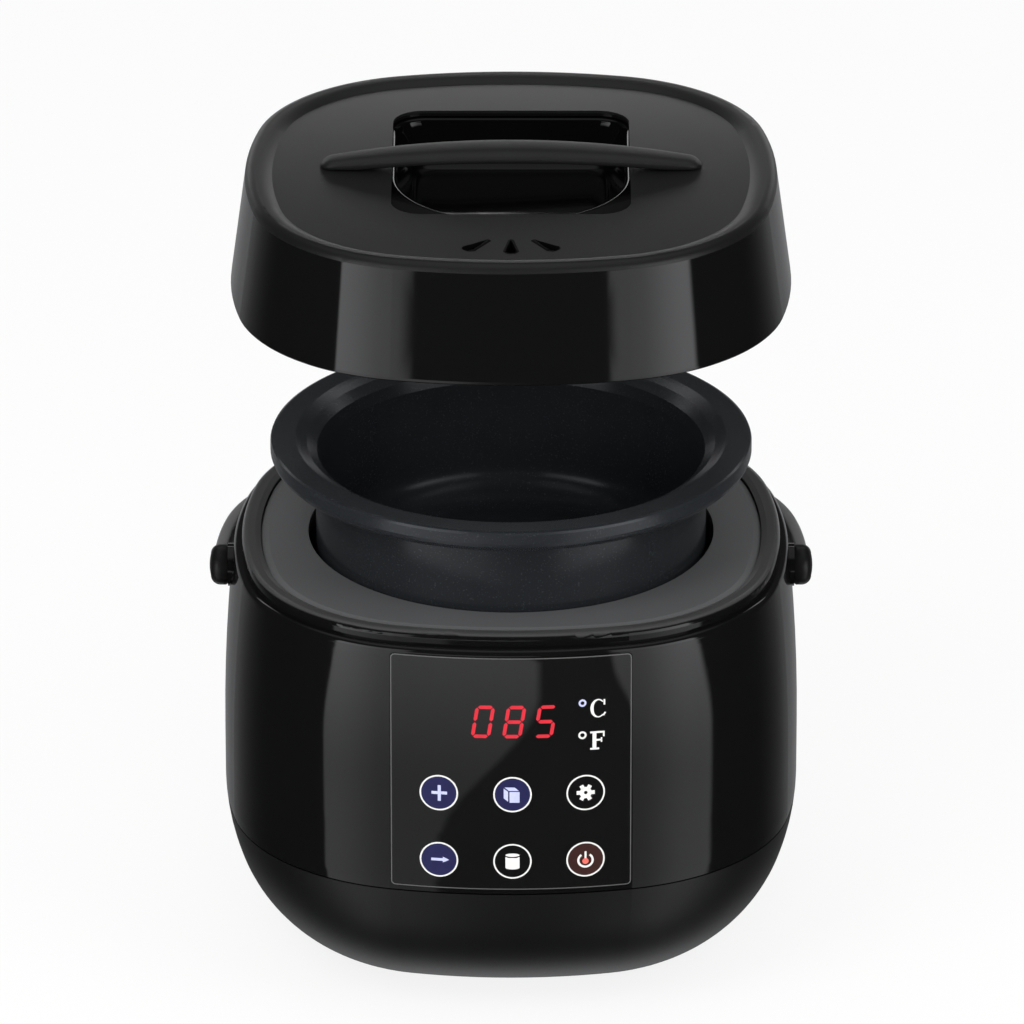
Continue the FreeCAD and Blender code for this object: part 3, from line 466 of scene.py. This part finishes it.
def finish(name, dark, light, rough_low, rough_high, grain, bump, metallic=0.0, specular=0.5):
    """Surface whose colour and roughness drift a little and whose grain is a fine bump."""
    material, tree, shader = principled(name)
    fine = fine_grain(tree, grain)
    put(tree, shader.inputs["Base Color"], mix_colour(tree, slow_drift(tree), dark, light))
    put(tree, shader.inputs["Roughness"], ramp(tree, fine, 0.3, 0.7, rough_low, rough_high))
    shader.inputs["Metallic"].default_value = metallic
    shader.inputs["Specular IOR Level"].default_value = specular
    add_bump(tree, shader, fine, bump)
    return material


def two_finishes(name, share, polished, dark, light, smooth_roughness, rough_roughness, grain, bump):
    """Polished where the share is zero, grained where it is one; the share is made in the material's tree."""
    material, tree, shader = principled(name)
    grained = share(tree)
    colour = mix_colour(tree, slow_drift(tree), dark, light)
    put(tree, shader.inputs["Base Color"], mix_colour(tree, grained, polished, colour))
    put(tree, shader.inputs["Roughness"], ramp(tree, grained, 0, 1, smooth_roughness, rough_roughness))
    add_bump(tree, shader, math_node(tree, "MULTIPLY", fine_grain(tree, grain), grained), bump)
    return material


def frame_black():
    """Moulded ring: satin on what faces up, polished on its upright sides; what faces up is also painted a
    lighter grey, as painted light from above, while the upright sides stay near black.
    """
    first_satin_and_painted_light_slope = 0.55
    full_satin_and_painted_light_slope = 0.85

    def facing_up(tree):
        normal = tree.nodes.new("ShaderNodeNewGeometry").outputs["Normal"]
        return ramp(tree, axes(tree, normal)["Z"], first_satin_and_painted_light_slope, full_satin_and_painted_light_slope)

    # The satin share sets the rougher finish and also lifts the colour from near black to a lighter grey:
    # painted light on the upward faces.
    return two_finishes(
        "frame_black", facing_up, grey(0.004), grey(0.046), grey(0.054), 0.07, 0.3, 900, 0.000006
    )


def lid_two_finishes():
    """Polished skirt below the rim, fine spark-eroded grain on the rim and the face."""
    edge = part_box("lid_shell")[0].z + lid_skirt_height * MM
    soft = 0.2 * MM

    def above_skirt(tree):
        return ramp(tree, axes(tree, own_place(tree))["Z"], edge - soft, edge + soft)

    return two_finishes(
        "lid_matte", above_skirt, grey(0.004), grey(0.006), grey(0.008), 0.05, 0.38, 2400, 0.00003
    )


def pot_coating():
    """Non-stick coating: dark blue-grey with a fine mica speckle."""
    material, tree, shader = principled("pot_coating")
    speckle = noise(tree, 1500, 2.0)
    body = mix_colour(tree, slow_drift(tree, 60), (0.019, 0.0215, 0.0245, 1), (0.024, 0.027, 0.031, 1))
    sparkle = ramp(tree, speckle, 0.62, 0.7)
    put(tree, shader.inputs["Base Color"], mix_colour(tree, sparkle, body, (0.05, 0.054, 0.058, 1)))
    put(tree, shader.inputs["Roughness"], ramp(tree, speckle, 0.3, 0.7, 0.2, 0.24))
    shader.inputs["Metallic"].default_value = 0.25
    add_bump(tree, shader, speckle, 0.000001)
    return material


def circuit_board():
    """Solder-masked board with a copper pattern that shows through faintly."""
    material, tree, shader = principled("board_green")
    cells = tree.nodes.new("ShaderNodeTexBrick")
    tree.links.new(own_place(tree), cells.inputs["Vector"])
    cells.inputs["Scale"].default_value = 90
    cells.inputs["Color1"].default_value = (0.01, 0.09, 0.03, 1)
    cells.inputs["Color2"].default_value = (0.012, 0.11, 0.038, 1)
    cells.inputs["Mortar"].default_value = (0.03, 0.17, 0.06, 1)
    tree.links.new(cells.outputs["Color"], shader.inputs["Base Color"])
    put(tree, shader.inputs["Roughness"], ramp(tree, noise(tree, 400), 0.3, 0.7, 0.25, 0.4))
    return material


def glowing(name, dark, bright, strength):
    """Lit mark: its colour drifts a little over its face."""
    material, tree, shader = principled(name)
    colour = mix_colour(tree, noise(tree, 300), dark, bright)
    put(tree, shader.inputs["Base Color"], colour)
    put(tree, shader.inputs["Emission Color"], colour)
    shader.inputs["Emission Strength"].default_value = strength
    shader.inputs["Roughness"].default_value = 0.5
    return material


# Plain finishes: darker and lighter colour, lowest and highest roughness, grain in cells per metre, bump in
# metres, then metallic and specular where they differ from moulded plastic
FINISHES = {
    "gloss_black": (grey(0.0035), grey(0.0045), 0.045, 0.075, 160, 0.000002),
    "matte_black": (grey(0.0032), grey(0.0042), 0.36, 0.44, 2600, 0.00002),
    "well_black": (grey(0.0012), grey(0.0016), 0.05, 0.08, 160, 0.000002, 0.0, 0.4),
    "knob_black": (grey(0.005), grey(0.007), 0.34, 0.44, 1800, 0.00001, 0.0, 0.35),
    "vent_black": (grey(0.0022), grey(0.003), 0.55, 0.65, 1800, 0.00001, 0.0, 0.12),
    "lid_bar_matte": (grey(0.009), grey(0.012), 0.40, 0.48, 2400, 0.00003),
    "bail_satin": (grey(0.13), grey(0.15), 0.3, 0.38, 1800, 0.00001),
    "plate_grey": (grey(0.094, -0.02), grey(0.102, -0.02), 0.34, 0.42, 3000, 0.00001),
    "panel_glass": (grey(0.0055), grey(0.0065), 0.02, 0.03, 90, 0.0000005),
    # panel_edge: lighter grey of the line that paints a highlight along the panel's edge
    "panel_edge": (grey(0.085), grey(0.1), 0.3, 0.4, 900, 0.000002),
    "bare_aluminium": (grey(0.62), grey(0.6572), 0.28, 0.4, 700, 0.00001, 1.0),
    "cast_aluminium": (grey(0.52), grey(0.6), 0.38, 0.52, 600, 0.00006, 1.0),
    "zinc_steel": (grey(0.5), grey(0.53), 0.3, 0.42, 700, 0.00001, 1.0),
    "spring_steel": (grey(0.45), grey(0.477), 0.2, 0.3, 700, 0.00001, 1.0),
    "brass_pins": ((0.6, 0.45, 0.18, 1), grey(0.477), 0.2, 0.3, 700, 0.00001, 1.0),
    "transformer_core": (grey(0.12), grey(0.2), 0.45, 0.6, 500, 0.00008, 0.8),
    "rubber_black": (grey(0.012), grey(0.02), 0.7, 0.85, 1800, 0.00005, 0.0, 0.3),
    "silicone_grey": (grey(0.28), grey(0.34), 0.5, 0.62, 1200, 0.00002),
    "insulation_white": (grey(0.62, 0.02), grey(0.78, 0.02), 0.9, 1.0, 900, 0.0006, 0.0, 0.1),
    "display_body": (grey(0.02), grey(0.028), 0.4, 0.5, 1500, 0.00001),
    "relay_blue": ((0.01, 0.04, 0.2, 1), (0.012, 0.05, 0.24, 1), 0.3, 0.4, 900, 0.00001),
    "capacitor_sleeve": ((0.01, 0.01, 0.03, 1), (0.015, 0.015, 0.04, 1), 0.2, 0.3, 600, 0.00001),
    "fuse_body": (grey(0.4, 0.1), grey(0.5, 0.1), 0.3, 0.4, 500, 0.00001),
}

# Lit marks: darker and brighter colour, strength of the glow
GLOWS = {
    "mark_white": ((0.62, 0.62, 0.6, 1), (0.74, 0.74, 0.72, 1), 0.18),
    "mark_blue_field": ((0.006, 0.006, 0.045, 1), (0.009, 0.009, 0.07, 1), 0.3),
    "mark_red_field": ((0.022, 0.005, 0.004, 1), (0.034, 0.007, 0.005, 1), 0.4),
    "mark_pale_blue": ((0.35, 0.38, 0.6, 1), (0.5, 0.52, 0.72, 1), 0.3),
    "mark_hot": ((0.6, 0.08, 0.07, 1), (0.75, 0.13, 0.1, 1), 0.5),
    "led_red": ((0.36, 0.006, 0.014, 1), (0.46, 0.01, 0.024, 1), 0.8),
}

MATERIALS = {name: finish(name, *values) for name, values in FINISHES.items()}
MATERIALS.update({name: glowing(name, *values) for name, values in GLOWS.items()})
MATERIALS["frame_black"] = frame_black()
MATERIALS["lid_matte"] = MATERIALS["lid_bar_matte"]
MATERIALS["lid_two_finishes"] = lid_two_finishes()
MATERIALS["pot_coating"] = pot_coating()
MATERIALS["board_green"] = circuit_board()


def dress_parts():
    """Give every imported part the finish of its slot; the lid's shell has two."""
    for part in frame["record"]["subparts"]:
        node = frame["nodes"][part["node"]]
        finish_name = part["material_slot"]
        if part["node"] == "lid_shell":
            finish_name = "lid_two_finishes"
        if not node.material_slots:
            node.data.materials.append(None)
        for slot in node.material_slots:
            slot.link = "OBJECT"
            slot.material = MATERIALS[finish_name]


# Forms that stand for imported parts


def new_piece(name, mesh_builder, material, body):
    """Piece of a body, with its mesh from a builder; its material and its slot are given by name."""
    mesh = bpy.data.meshes.new(name)
    builder = bmesh.new()
    mesh_builder(builder)
    bmesh.ops.recalc_face_normals(builder, faces=builder.faces)
    builder.to_mesh(mesh)
    builder.free()
    piece = bpy.data.objects.new(name, mesh)
    bpy.context.scene.collection.objects.link(piece)
    mesh.materials.append(MATERIALS[material])
    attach(piece, body)
    return piece


def grid(builder, rows):
    """Skin of quads over rows of points; each row closes on itself."""
    made = [[builder.verts.new(Vector(point) * MM) for point in row] for row in rows]
    count = len(made[0])
    for first, second in zip(made, made[1:]):
        for i in range(count):
            j = (i + 1) % count
            builder.faces.new((first[i], first[j], second[j], second[i]))
    return made


def closed_tube(rows):
    """Builder of a skin over rows of points with a face at each end."""
    def build(builder):
        made = grid(builder, rows)
        builder.faces.new(made[0])
        builder.faces.new(reversed(made[-1]))

    return build


def smooth(piece, angle=40):
    """Shade smoothly across edges that turn by less than an angle in degrees."""
    piece.data.polygons.foreach_set("use_smooth", [True] * len(piece.data.polygons))
    piece.data.set_sharp_from_angle(angle=math.radians(angle))


def full_turn(count):
    """Evenly spaced angles round a circle."""
    return [2 * math.pi * i / count for i in range(count)]


def quarter_turn(steps):
    """Evenly spaced angles from zero to a right angle."""
    return [math.pi / 2 * i / steps for i in range(steps + 1)]


def signed_power(value, power):
    return math.copysign(abs(value) ** power, value)


def arc_points(x, y, radius, count, start=0.0, end=360.0):
    """Points along an arc from a start to an end in degrees; a full circle leaves out its last point."""
    steps = count if end - start >= 360 else count - 1
    return [
        (x + radius * math.cos(math.radians(start + (end - start) * i / steps)),
         y + radius * math.sin(math.radians(start + (end - start) * i / steps)))
        for i in range(count)
    ]


def outline_arcs(wide, deep):
    """Centre, radius, first and last angle of the arcs from the right side round the back to the left."""
    side_x = wide - bow_radius
    front_y = deep - bow_radius
    reach = bow_radius - corner_radius
    span = math.hypot(side_x, front_y)
    lean = math.sqrt(reach ** 2 - (span / 2) ** 2)
    corner_x = side_x / 2 - lean * front_y / span
    corner_y = front_y / 2 - lean * side_x / span
    low = math.degrees(math.atan2(corner_y, corner_x - side_x))
    high = math.degrees(math.atan2(corner_y - front_y, corner_x))
    return [
        (side_x, 0, bow_radius, 0, low),
        (corner_x, corner_y, corner_radius, low, high),
        (0, front_y, bow_radius, high, 180 - high),
        (-corner_x, corner_y, corner_radius, 180 - high, 180 - low),
        (-side_x, 0, bow_radius, 180 - low, 180),
    ]


def bail_path():
    """Points round the back of the housing, each with the direction that faces outwards."""
    path = []
    for x, y, radius, start, end in outline_arcs(bail_half_width, bail_half_depth):
        steps = max(4, round(math.radians(abs(end - start)) * radius / bail_step))
        for i in range(steps + 1):
            angle = math.radians(start + (end - start) * i / steps)
            point = (x + radius * math.cos(angle), y + radius * math.sin(angle))
            if not path or math.dist(point, path[-1][0]) > 0.01:
                path.append((point, (math.cos(angle), math.sin(angle))))
    return path


def pivot_height():
    low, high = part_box("pivot_pins")
    return (low.z + high.z) / 2 / MM


def make_bail():
    """Drooping strap with softly rounded edges, whose ends lie under the knobs."""
    height = pivot_height()
    section = []
    for angle in full_turn(bail_section_points):
        across = signed_power(math.cos(angle), bail_face_roundness)
        up = signed_power(math.sin(angle), bail_edge_roundness)
        section.append((bail_thickness / 2 * (1 + across), bail_height / 2 * up))

    def droop(x, y, z):
        return (x, y * math.cos(bail_droop) + z * math.sin(bail_droop),
                height + z * math.cos(bail_droop) - y * math.sin(bail_droop))

    rows = [[droop(x + out_x * out, y + out_y * out, up) for out, up in section]
            for (x, y), (out_x, out_y) in bail_path()]
    piece = new_piece("bail_strap", closed_tube(rows), "bail_satin", "bail")
    smooth(piece)
    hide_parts("bail_handle")


def spin(builder, profile, height):
    """Skin of a profile of radius and x turned about the pivot axis."""
    least_radius = 0.001
    rows = []
    for radius, x in profile:
        ring = max(radius, least_radius)
        rows.append([(x, ring * math.cos(a), height + ring * math.sin(a)) for a in full_turn(turned_points)])
    grid(builder, rows)


def make_knobs():
    """Button-like knob at each end of the bail: a short drum whose outer edge is well rounded."""
    height = pivot_height()
    inner = bail_half_width - knob_sink
    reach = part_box("pivot_caps")[1].x / MM - knob_dome
    profile = [(knob_radius - knob_bevel, inner), (knob_radius, inner + knob_bevel)]
    for angle in quarter_turn(knob_corner_steps):
        profile.append((knob_radius - knob_corner * (1 - math.cos(angle)),
                        reach - knob_corner * (1 - math.sin(angle))))
    edge = knob_radius - knob_corner
    for i in range(1, knob_dome_steps + 1):
        radius = edge * (1 - i / knob_dome_steps)
        profile.append((radius, reach + knob_dome * (1 - (radius / edge) ** 2)))

    def build(builder):
        for side in (-1, 1):
            spin(builder, [(radius, side * x) for radius, x in profile], height)

    piece = new_piece("bail_knobs", build, "knob_black", "bail")
    smooth(piece, 50)
    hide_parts("pivot_caps")


def drop_loop(x, y, angle, tip_radius, end_radius, length):
    """Drop-shaped loop whose round tip lies at x and y and whose fat end lies length away."""
    lean = math.degrees(math.asin((end_radius - tip_radius) / length))
    loop = arc_points(0, 0, tip_radius, drop_tip_points, -lean, 180 + lean)
    loop += arc_points(0, -length, end_radius, drop_end_points, 180 + lean, 360 - lean)
    along = math.cos(math.radians(angle))
    across = math.sin(math.radians(angle))
    return [(x + a * along - b * across, y + a * across + b * along) for a, b in loop]


def make_vent_lips():
    """Dull lip round each steam slot, drop-shaped and dished towards the slot."""
    face = lid_face()

    def build(builder):
        for side in (-1, 0, 1):
            x = side * vent_spread
            angle = side * vent_angle
            foot = drop_loop(
                x, -vent_place, angle, vent_tip_radius + vent_bevel, vent_end_radius + vent_bevel, vent_reach
            )
            lip = drop_loop(x, -vent_place, angle, vent_tip_radius, vent_end_radius, vent_reach)
            slot = drop_loop(x, -slot_place, angle, slot_tip_radius, slot_end_radius, slot_reach)
            grid(builder, [
                at_height(foot, face - vent_sink),
                at_height(lip, face + vent_stand),
                at_height(slot, face + slot_stand),
                at_height(slot, face - slot_depth),
            ])

    piece = new_piece("vent_lips", build, "vent_black", "lid")
    smooth(piece, 60)


def make_spring():
    """Round-wire coil that is squeezed against its bracket as the sensor's cap goes down."""
    low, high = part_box("sensor_spring")
    wire = spring_wire / 2
    radius = (high.x - low.x) / 2 / MM - wire
    bottom = low.z / MM + wire
    rise = (high.z - low.z) / MM - 2 * wire
    steps = spring_turns * spring_turn_steps
    rows = []
    for i in range(steps + 1):
        turn = 2 * math.pi * spring_turns * i / steps
        height = bottom + rise * i / steps
        row = []
        for angle in full_turn(spring_wire_points):
            out = radius + wire * math.cos(angle)
            row.append((math.cos(turn) * out, math.sin(turn) * out, height + wire * math.sin(angle)))
        rows.append(row)

    piece = new_piece("sensor_coil", closed_tube(rows), "spring_steel", "base")
    smooth(piece)
    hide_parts("sensor_spring")
    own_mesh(piece)


def lid_face():
    """Height of the lid's flat face, which carries the bar."""
    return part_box("lid_handle")[0].z / MM


def at_height(loop, z):
    return [(x, y, z) for x, y in loop]


def bar_section(along, low, high):
    """Section of the bar at a share of its half length, which is -1 at the left end and 1 at the right."""
    face = lid_face()
    top = high.z / MM
    middle = (low.y + high.y) / 2 / MM
    widest = (high.y - low.y) / 2 / MM
    blunt = bar_end_width / 2
    body = bar_half_length - blunt
    x = bar_half_length * along
    past = max(abs(x) - body, 0.0) / blunt
    half = widest - (widest - blunt) * min(abs(x) / body, 1.0) ** bar_taper
    half *= math.sqrt(max(1 - past ** 2, bar_tip_share ** 2))
    back = face + bar_end_height + (top - face - bar_end_height) * (1 - along ** 2)
    back -= bar_end_height * bar_end_drop * past ** 3
    under = max(face - bar_sink, back - bar_thickness)
    crown = min(bar_crown * half / widest, back - under - bar_least_side)
    side = back - crown
    row = []
    for angle in full_turn(bar_section_points):
        across = signed_power(math.cos(angle), bar_side_roundness)
        up = math.sin(angle)
        if up >= 0:
            z = side + crown * up ** bar_back_roundness
        else:
            z = side - (side - under) * (-up) ** bar_foot_roundness
        row.append((x, middle + half * across, z))
    return row


def make_bar():
    """Arched bar across the well: blunt ends, a crowned back and a hollow underneath."""
    low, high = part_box("lid_handle")
    rows = [bar_section(-math.cos(math.pi * i / bar_steps), low, high) for i in range(bar_steps + 1)]
    piece = new_piece("lid_bar", closed_tube(rows), "lid_bar_matte", "lid")
    smooth(piece, 60)
    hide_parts("lid_handle")


def well_loop(inset):
    """D-shaped loop: a half circle in front and two rounded corners at the back."""
    radius = well_radius - inset
    back = well_back - inset
    corner = max(well_corner - inset / 2, well_least_corner)
    return (arc_points(radius - corner, back - corner, corner, well_corner_points, 0, 90)
            + arc_points(corner - radius, back - corner, corner, well_corner_points, 90, 180)
            + arc_points(0, well_radius - well_front, radius, well_front_points, 180, 360))


def opening_loop(grow):
    """Rounded rectangle with the same number of points as the D-shaped loop."""
    half = well_radius + grow
    back = well_back + grow
    front = -well_front - grow
    corner = well_corner + grow
    front_half = (well_front_points - 1) // 2
    return (arc_points(half - corner, back - corner, corner, well_corner_points, 0, 90)
            + arc_points(corner - half, back - corner, corner, well_corner_points, 90, 180)
            + arc_points(corner - half, front + corner, corner, front_half, 180, 270)
            + [(0, front)]
            + arc_points(half - corner, front + corner, corner, front_half, 270, 360))


def make_bowl():
    """Finger well: a shelf under the lid's opening with a D-shaped bowl that has rounded edges."""
    face = lid_face()
    shelf = face - well_shelf
    floor = face - well_depth
    wall_top = shelf - well_lip
    wall_foot = floor + well_floor_turn
    outer = opening_loop(well_flange)
    rows = [at_height(outer, face - face_wall - well_flange_gap), at_height(outer, shelf)]
    for angle in quarter_turn(well_lip_steps):
        inset = well_lip * math.sin(angle) - well_overlap
        rows.append(at_height(well_loop(inset), shelf - well_lip * (1 - math.cos(angle))))
    for i in range(1, well_wall_steps + 1):
        share = i / well_wall_steps
        inset = well_lip - well_overlap + (well_draft - well_lip) * share
        rows.append(at_height(well_loop(inset), wall_top - (wall_top - wall_foot) * share))
    for angle in quarter_turn(well_wall_steps)[1:]:
        inset = well_draft + well_floor_turn * (1 - math.cos(angle))
        rows.append(at_height(well_loop(inset), floor + well_floor_turn * (1 - math.sin(angle))))

    def build(builder):
        made = grid(builder, rows)
        builder.faces.new(made[-1])

    piece = new_piece("lid_bowl", build, "well_black", "lid")
    smooth(piece, 50)
    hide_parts("lid_well")


# Marks on the panel. A shape is a list of polygons of x and z in millimetres.


def surface_of(node):
    mesh = frame["nodes"][node].data
    return BVHTree.FromPolygons([v.co for v in mesh.vertices], [tuple(p.vertices) for p in mesh.polygons])


def panel_point(surface, x, z, lift):
    """Point on the front of the panel at x and z in millimetres, lifted off it."""
    hit, _, _, _ = surface.ray_cast(Vector((x * MM, -1, z * MM)), Vector((0, 1, 0)))
    return hit + Vector((0, -lift * MM, 0))


def mark(name, shape, material, lift=mark_lift):
    """Thin piece in the form of a shape, laid on the curved panel."""
    surface = surface_of("control_panel")

    def build(builder):
        for polygon in shape:
            builder.faces.new([builder.verts.new(panel_point(surface, x, z, lift)) for x, z in polygon])
        bmesh.ops.remove_doubles(builder, verts=builder.verts, dist=1e-7)
        made = bmesh.ops.extrude_face_region(builder, geom=list(builder.faces))
        moved = [v for v in made["geom"] if isinstance(v, bmesh.types.BMVert)]
        bmesh.ops.translate(builder, verts=moved, vec=(0, mark_depth * MM, 0))
        bmesh.ops.triangulate(builder, faces=builder.faces)

    new_piece(name, build, material, "base")


def band(x, z, inner, outer, count=64, start=0.0, end=360.0):
    """Quads of a ring or of an arc of one."""
    near = arc_points(x, z, inner, count, start, end)
    far = arc_points(x, z, outer, count, start, end)
    last = count if end - start >= 360 else count - 1
    return [[near[i], far[i], far[(i + 1) % count], near[(i + 1) % count]] for i in range(last)]


def full_disc(x, z, radius, rings=3, count=32):
    """Disc of two rings of quads round a middle, so that it bends with the panel."""
    quads = []
    for i in range(1, rings):
        quads += band(x, z, radius * i / rings, radius * (i + 1) / rings, count)
    return quads + [arc_points(x, z, radius / rings, count)]


def stroke(x1, z1, x2, z2, width):
    """Rectangle along a line."""
    along = Vector((x2 - x1, z2 - z1)).normalized() * (width / 2)
    side = Vector((-along.y, along.x))
    return [(x1 - side.x, z1 - side.y), (x2 - side.x, z2 - side.y),
            (x2 + side.x, z2 + side.y), (x1 + side.x, z1 + side.y)]


SEGMENTS = {"0": "abcdef", "8": "abcdefg", "5": "afgcd"}


def digit(text, x, z):
    """Lit segments of one leaning digit, centred at x and z."""
    half_w = digit_width / 2 - digit_line / 2
    half_h = digit_height / 2 - digit_line / 2
    places = {
        "a": (-half_w, half_h, half_w, half_h),
        "b": (half_w, half_h, half_w, 0),
        "c": (half_w, 0, half_w, -half_h),
        "d": (half_w, -half_h, -half_w, -half_h),
        "e": (-half_w, -half_h, -half_w, 0),
        "f": (-half_w, 0, -half_w, half_h),
        "g": (-half_w, 0, half_w, 0),
    }
    tip = digit_line / 2
    shapes = []
    for name in SEGMENTS[text]:
        x1, z1, x2, z2 = places[name]
        along = Vector((x2 - x1, z2 - z1)).normalized()
        side = Vector((-along.y, along.x)) * tip
        first = Vector((x1, z1)) + along * digit_gap
        last = Vector((x2, z2)) - along * digit_gap
        corners = [first, first + along * tip - side, last - along * tip - side, last,
                   last - along * tip + side, first + along * tip + side]
        shapes.append([(x + c.x + c.y * math.tan(digit_slant), z + c.y) for c in corners])
    return shapes


def letter_c(x, z, height):
    """Slab-serif C: an open ring that is thick at the left, with a serif at each end."""
    radius = height / 2
    half_gap = 48
    narrow = 0.8
    thin = 0.10
    swell = 0.11
    count = 28
    pairs = []
    for i in range(count + 1):
        angle = math.radians(half_gap + (360 - 2 * half_gap) * i / count)
        thick = height * (thin + swell * max(0.0, -math.cos(angle)))
        pairs.append((
            (x + narrow * (radius - thick) * math.cos(angle), z + (radius - thick * 0.6) * math.sin(angle)),
            (x + narrow * radius * math.cos(angle), z + radius * math.sin(angle)),
        ))
    shape = [[near, far, next_far, next_near] for (near, far), (next_near, next_far) in zip(pairs, pairs[1:])]
    end_x = x + 0.56 * radius
    shape.append(stroke(end_x + 0.3, z + radius * 0.95, end_x + 0.3, z + radius * 0.35, 0.7))
    shape.append(stroke(end_x - 0.1, z - radius * 0.80, end_x + 0.7, z - radius * 0.45, 0.7))
    return shape


def letter_f(x, z, height):
    """Slab-serif F: a thick stem with a slab at its foot, and two arms with a serif at the end of each."""
    top = z + height / 2
    foot = z - height / 2
    stem = x - height * 0.16
    left = stem - height * 0.22
    right = x + height * 0.36
    slab = 0.8
    return [
        stroke(stem, foot, stem, top, height * 0.20),
        stroke(left, foot + slab / 2, stem + height * 0.24, foot + slab / 2, slab),
        stroke(left, top - slab / 2, right, top - slab / 2, slab),
        stroke(right - 0.35, top, right - 0.35, top - height * 0.30, 0.7),
        stroke(stem, z + 0.2, right - height * 0.14, z + 0.2, slab),
        stroke(right - height * 0.16, z + 1.2, right - height * 0.16, z - 0.8, 0.6),
    ]


def plus_sign(x, z):
    return [stroke(x - 3.0, z, x + 3.4, z, 1.3), stroke(x + 0.2, z - 3.6, x + 0.2, z + 3.4, 1.3)]


def minus_sign(x, z):
    """Short stroke that ends in a small point."""
    return [stroke(x - 3.2, z, x + 2.2, z, 1.2), [(x + 1.6, z - 1.3), (x + 4.2, z), (x + 1.6, z + 1.3)]]


def cube_sign(x, z):
    """Block of wax: front, top and left faces with thin gaps between them."""
    return [
        [(x - 1.2, z - 3.6), (x + 2.9, z - 3.6), (x + 2.9, z + 1.2), (x - 1.2, z + 1.2)],
        [(x - 1.5, z + 1.7), (x + 2.6, z + 1.7), (x + 0.9, z + 3.2), (x - 3.2, z + 3.2)],
        [(x - 3.6, z - 1.6), (x - 1.8, z - 3.2), (x - 1.8, z + 1.3), (x - 3.6, z + 2.7)],
    ]


def gear_sign(x, z):
    """Six short teeth round a thick ring."""
    hole = 0.75
    rim = 2.5
    tooth_root = 1.8
    tooth_tip = 3.7
    teeth = []
    for angle in full_turn(6):
        out = Vector((math.cos(angle), math.sin(angle)))
        root = out * tooth_root
        tip = out * tooth_tip
        teeth.append(stroke(x + root.x, z + root.y, x + tip.x, z + tip.y, 1.7))
    return band(x, z, hole, rim, 36) + teeth


def jar_sign(x, z):
    """Round tin: a body with a curved foot and a separate lid."""
    half = 2.9

    def curve(rise, bulge, angles):
        return [(x + half * math.cos(math.radians(a)), z + rise + bulge * math.sin(math.radians(a)))
                for a in angles]

    foot = curve(-2.9, 0.8, range(180, 361, 20))
    shoulder = [(x + half, z + 2.0), (x + 1.6, z + 1.5), (x - 1.6, z + 1.5), (x - half, z + 2.0)]
    return [foot + shoulder, curve(2.8, 0.75, range(0, 360, 20))]


def power_sign(x, z):
    """Open ring with an upright stroke in its gap."""
    return band(x, z - 0.4, 2.5, 3.4, 30, 125, 415) + [stroke(x, z + 0.3, x, z + 3.6, 0.8)]


# Touch fields: column, row, name, sign, colour of the sign and of the field behind it
TOUCH_FIELDS = (
    (0, 0, "plus", plus_sign, "mark_pale_blue", "mark_blue_field"),
    (1, 0, "cube", cube_sign, "mark_pale_blue", "mark_blue_field"),
    (2, 0, "gear", gear_sign, "mark_white", None),
    (0, 1, "minus", minus_sign, "mark_pale_blue", "mark_blue_field"),
    (1, 1, "jar", jar_sign, "mark_white", None),
    (2, 1, "power", power_sign, "mark_white", "mark_red_field"),
)


def make_marks():
    """Touch fields, the display's number and the signs of its two units."""
    ring_inner_radius = ring_outer_radius - ring_line
    for column, row, name, sign, colour, field in TOUCH_FIELDS:
        x = touch_columns[column]
        z = touch_rows[row]
        mark("ring_" + name, band(x, z, ring_inner_radius, ring_outer_radius), "mark_white")
        if field:
            mark("field_" + name, full_disc(x, z, ring_inner_radius), field, mark_lift * 0.5)
        mark("sign_" + name, sign(x, z), colour, mark_lift * 1.4)
    mark("power_lamp", full_disc(touch_columns[2], touch_rows[1] - 0.8, 1.3), "mark_hot", mark_lift * 1.8)

    shape = []
    for index, text in enumerate("085"):
        shape += digit(text, display_centre[0] + (index - 1) * digit_pitch, display_centre[1])
    mark("display_digits", shape, "led_red")
    top, low = unit_rows
    degree_x = unit_x + degree_shift
    mark("unit_celsius", letter_c(unit_x + 4.0, top, unit_height), "mark_white")
    mark("unit_celsius_ring", band(degree_x, top + degree_rise, 0.8, 1.6, 24), "mark_pale_blue")
    mark("unit_fahrenheit", letter_f(unit_x + 3.8, low, unit_height), "mark_white")
    mark("unit_fahrenheit_ring", band(degree_x, low + degree_rise, 0.9, 1.7, 24), "mark_white")


def make_painted_edge_highlight():
    """Painted highlight: a thin lighter grey line laid along the panel's ground edge, where that edge would
    catch the light.
    """
    low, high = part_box("control_panel")
    half = (high.x - low.x) / 2 / MM - panel_edge_inset
    bottom = low.z / MM + panel_edge_inset
    top = high.z / MM - panel_edge_inset
    corner = panel_corner - panel_edge_inset
    inner = corner - panel_edge_line
    count = 40
    quads = []
    for i in range(count):
        x1, x2 = [(half - corner) * (2 * j / count - 1) for j in (i, i + 1)]
        z1, z2 = [bottom + corner + (top - bottom - 2 * corner) * j / count for j in (i, i + 1)]
        for edge, inside in ((bottom, bottom + panel_edge_line), (top, top - panel_edge_line)):
            quads.append([(x1, edge), (x2, edge), (x2, inside), (x1, inside)])
        for edge, inside in ((-half, panel_edge_line - half), (half, half - panel_edge_line)):
            quads.append([(edge, z1), (inside, z1), (inside, z2), (edge, z2)])
    for x, z, start in (
        (half - corner, top - corner, 0),
        (corner - half, top - corner, 90),
        (corner - half, bottom + corner, 180),
        (half - corner, bottom + corner, 270),
    ):
        quads += band(x, z, inner, corner, 8, start, start + 90)
    # The lighter line is a painted highlight on the panel's edge
    mark("panel_edge", quads, "panel_edge", mark_lift * 0.6)


bpy.context.scene.view_settings.view_transform = "Standard"
make_camera()
make_world()
make_lights()
make_floor()
dress_parts()
make_bail()
make_knobs()
make_bar()
make_bowl()
make_vent_lips()
make_spring()
make_marks()
# Painted highlight along the panel's edge
make_painted_edge_highlight()
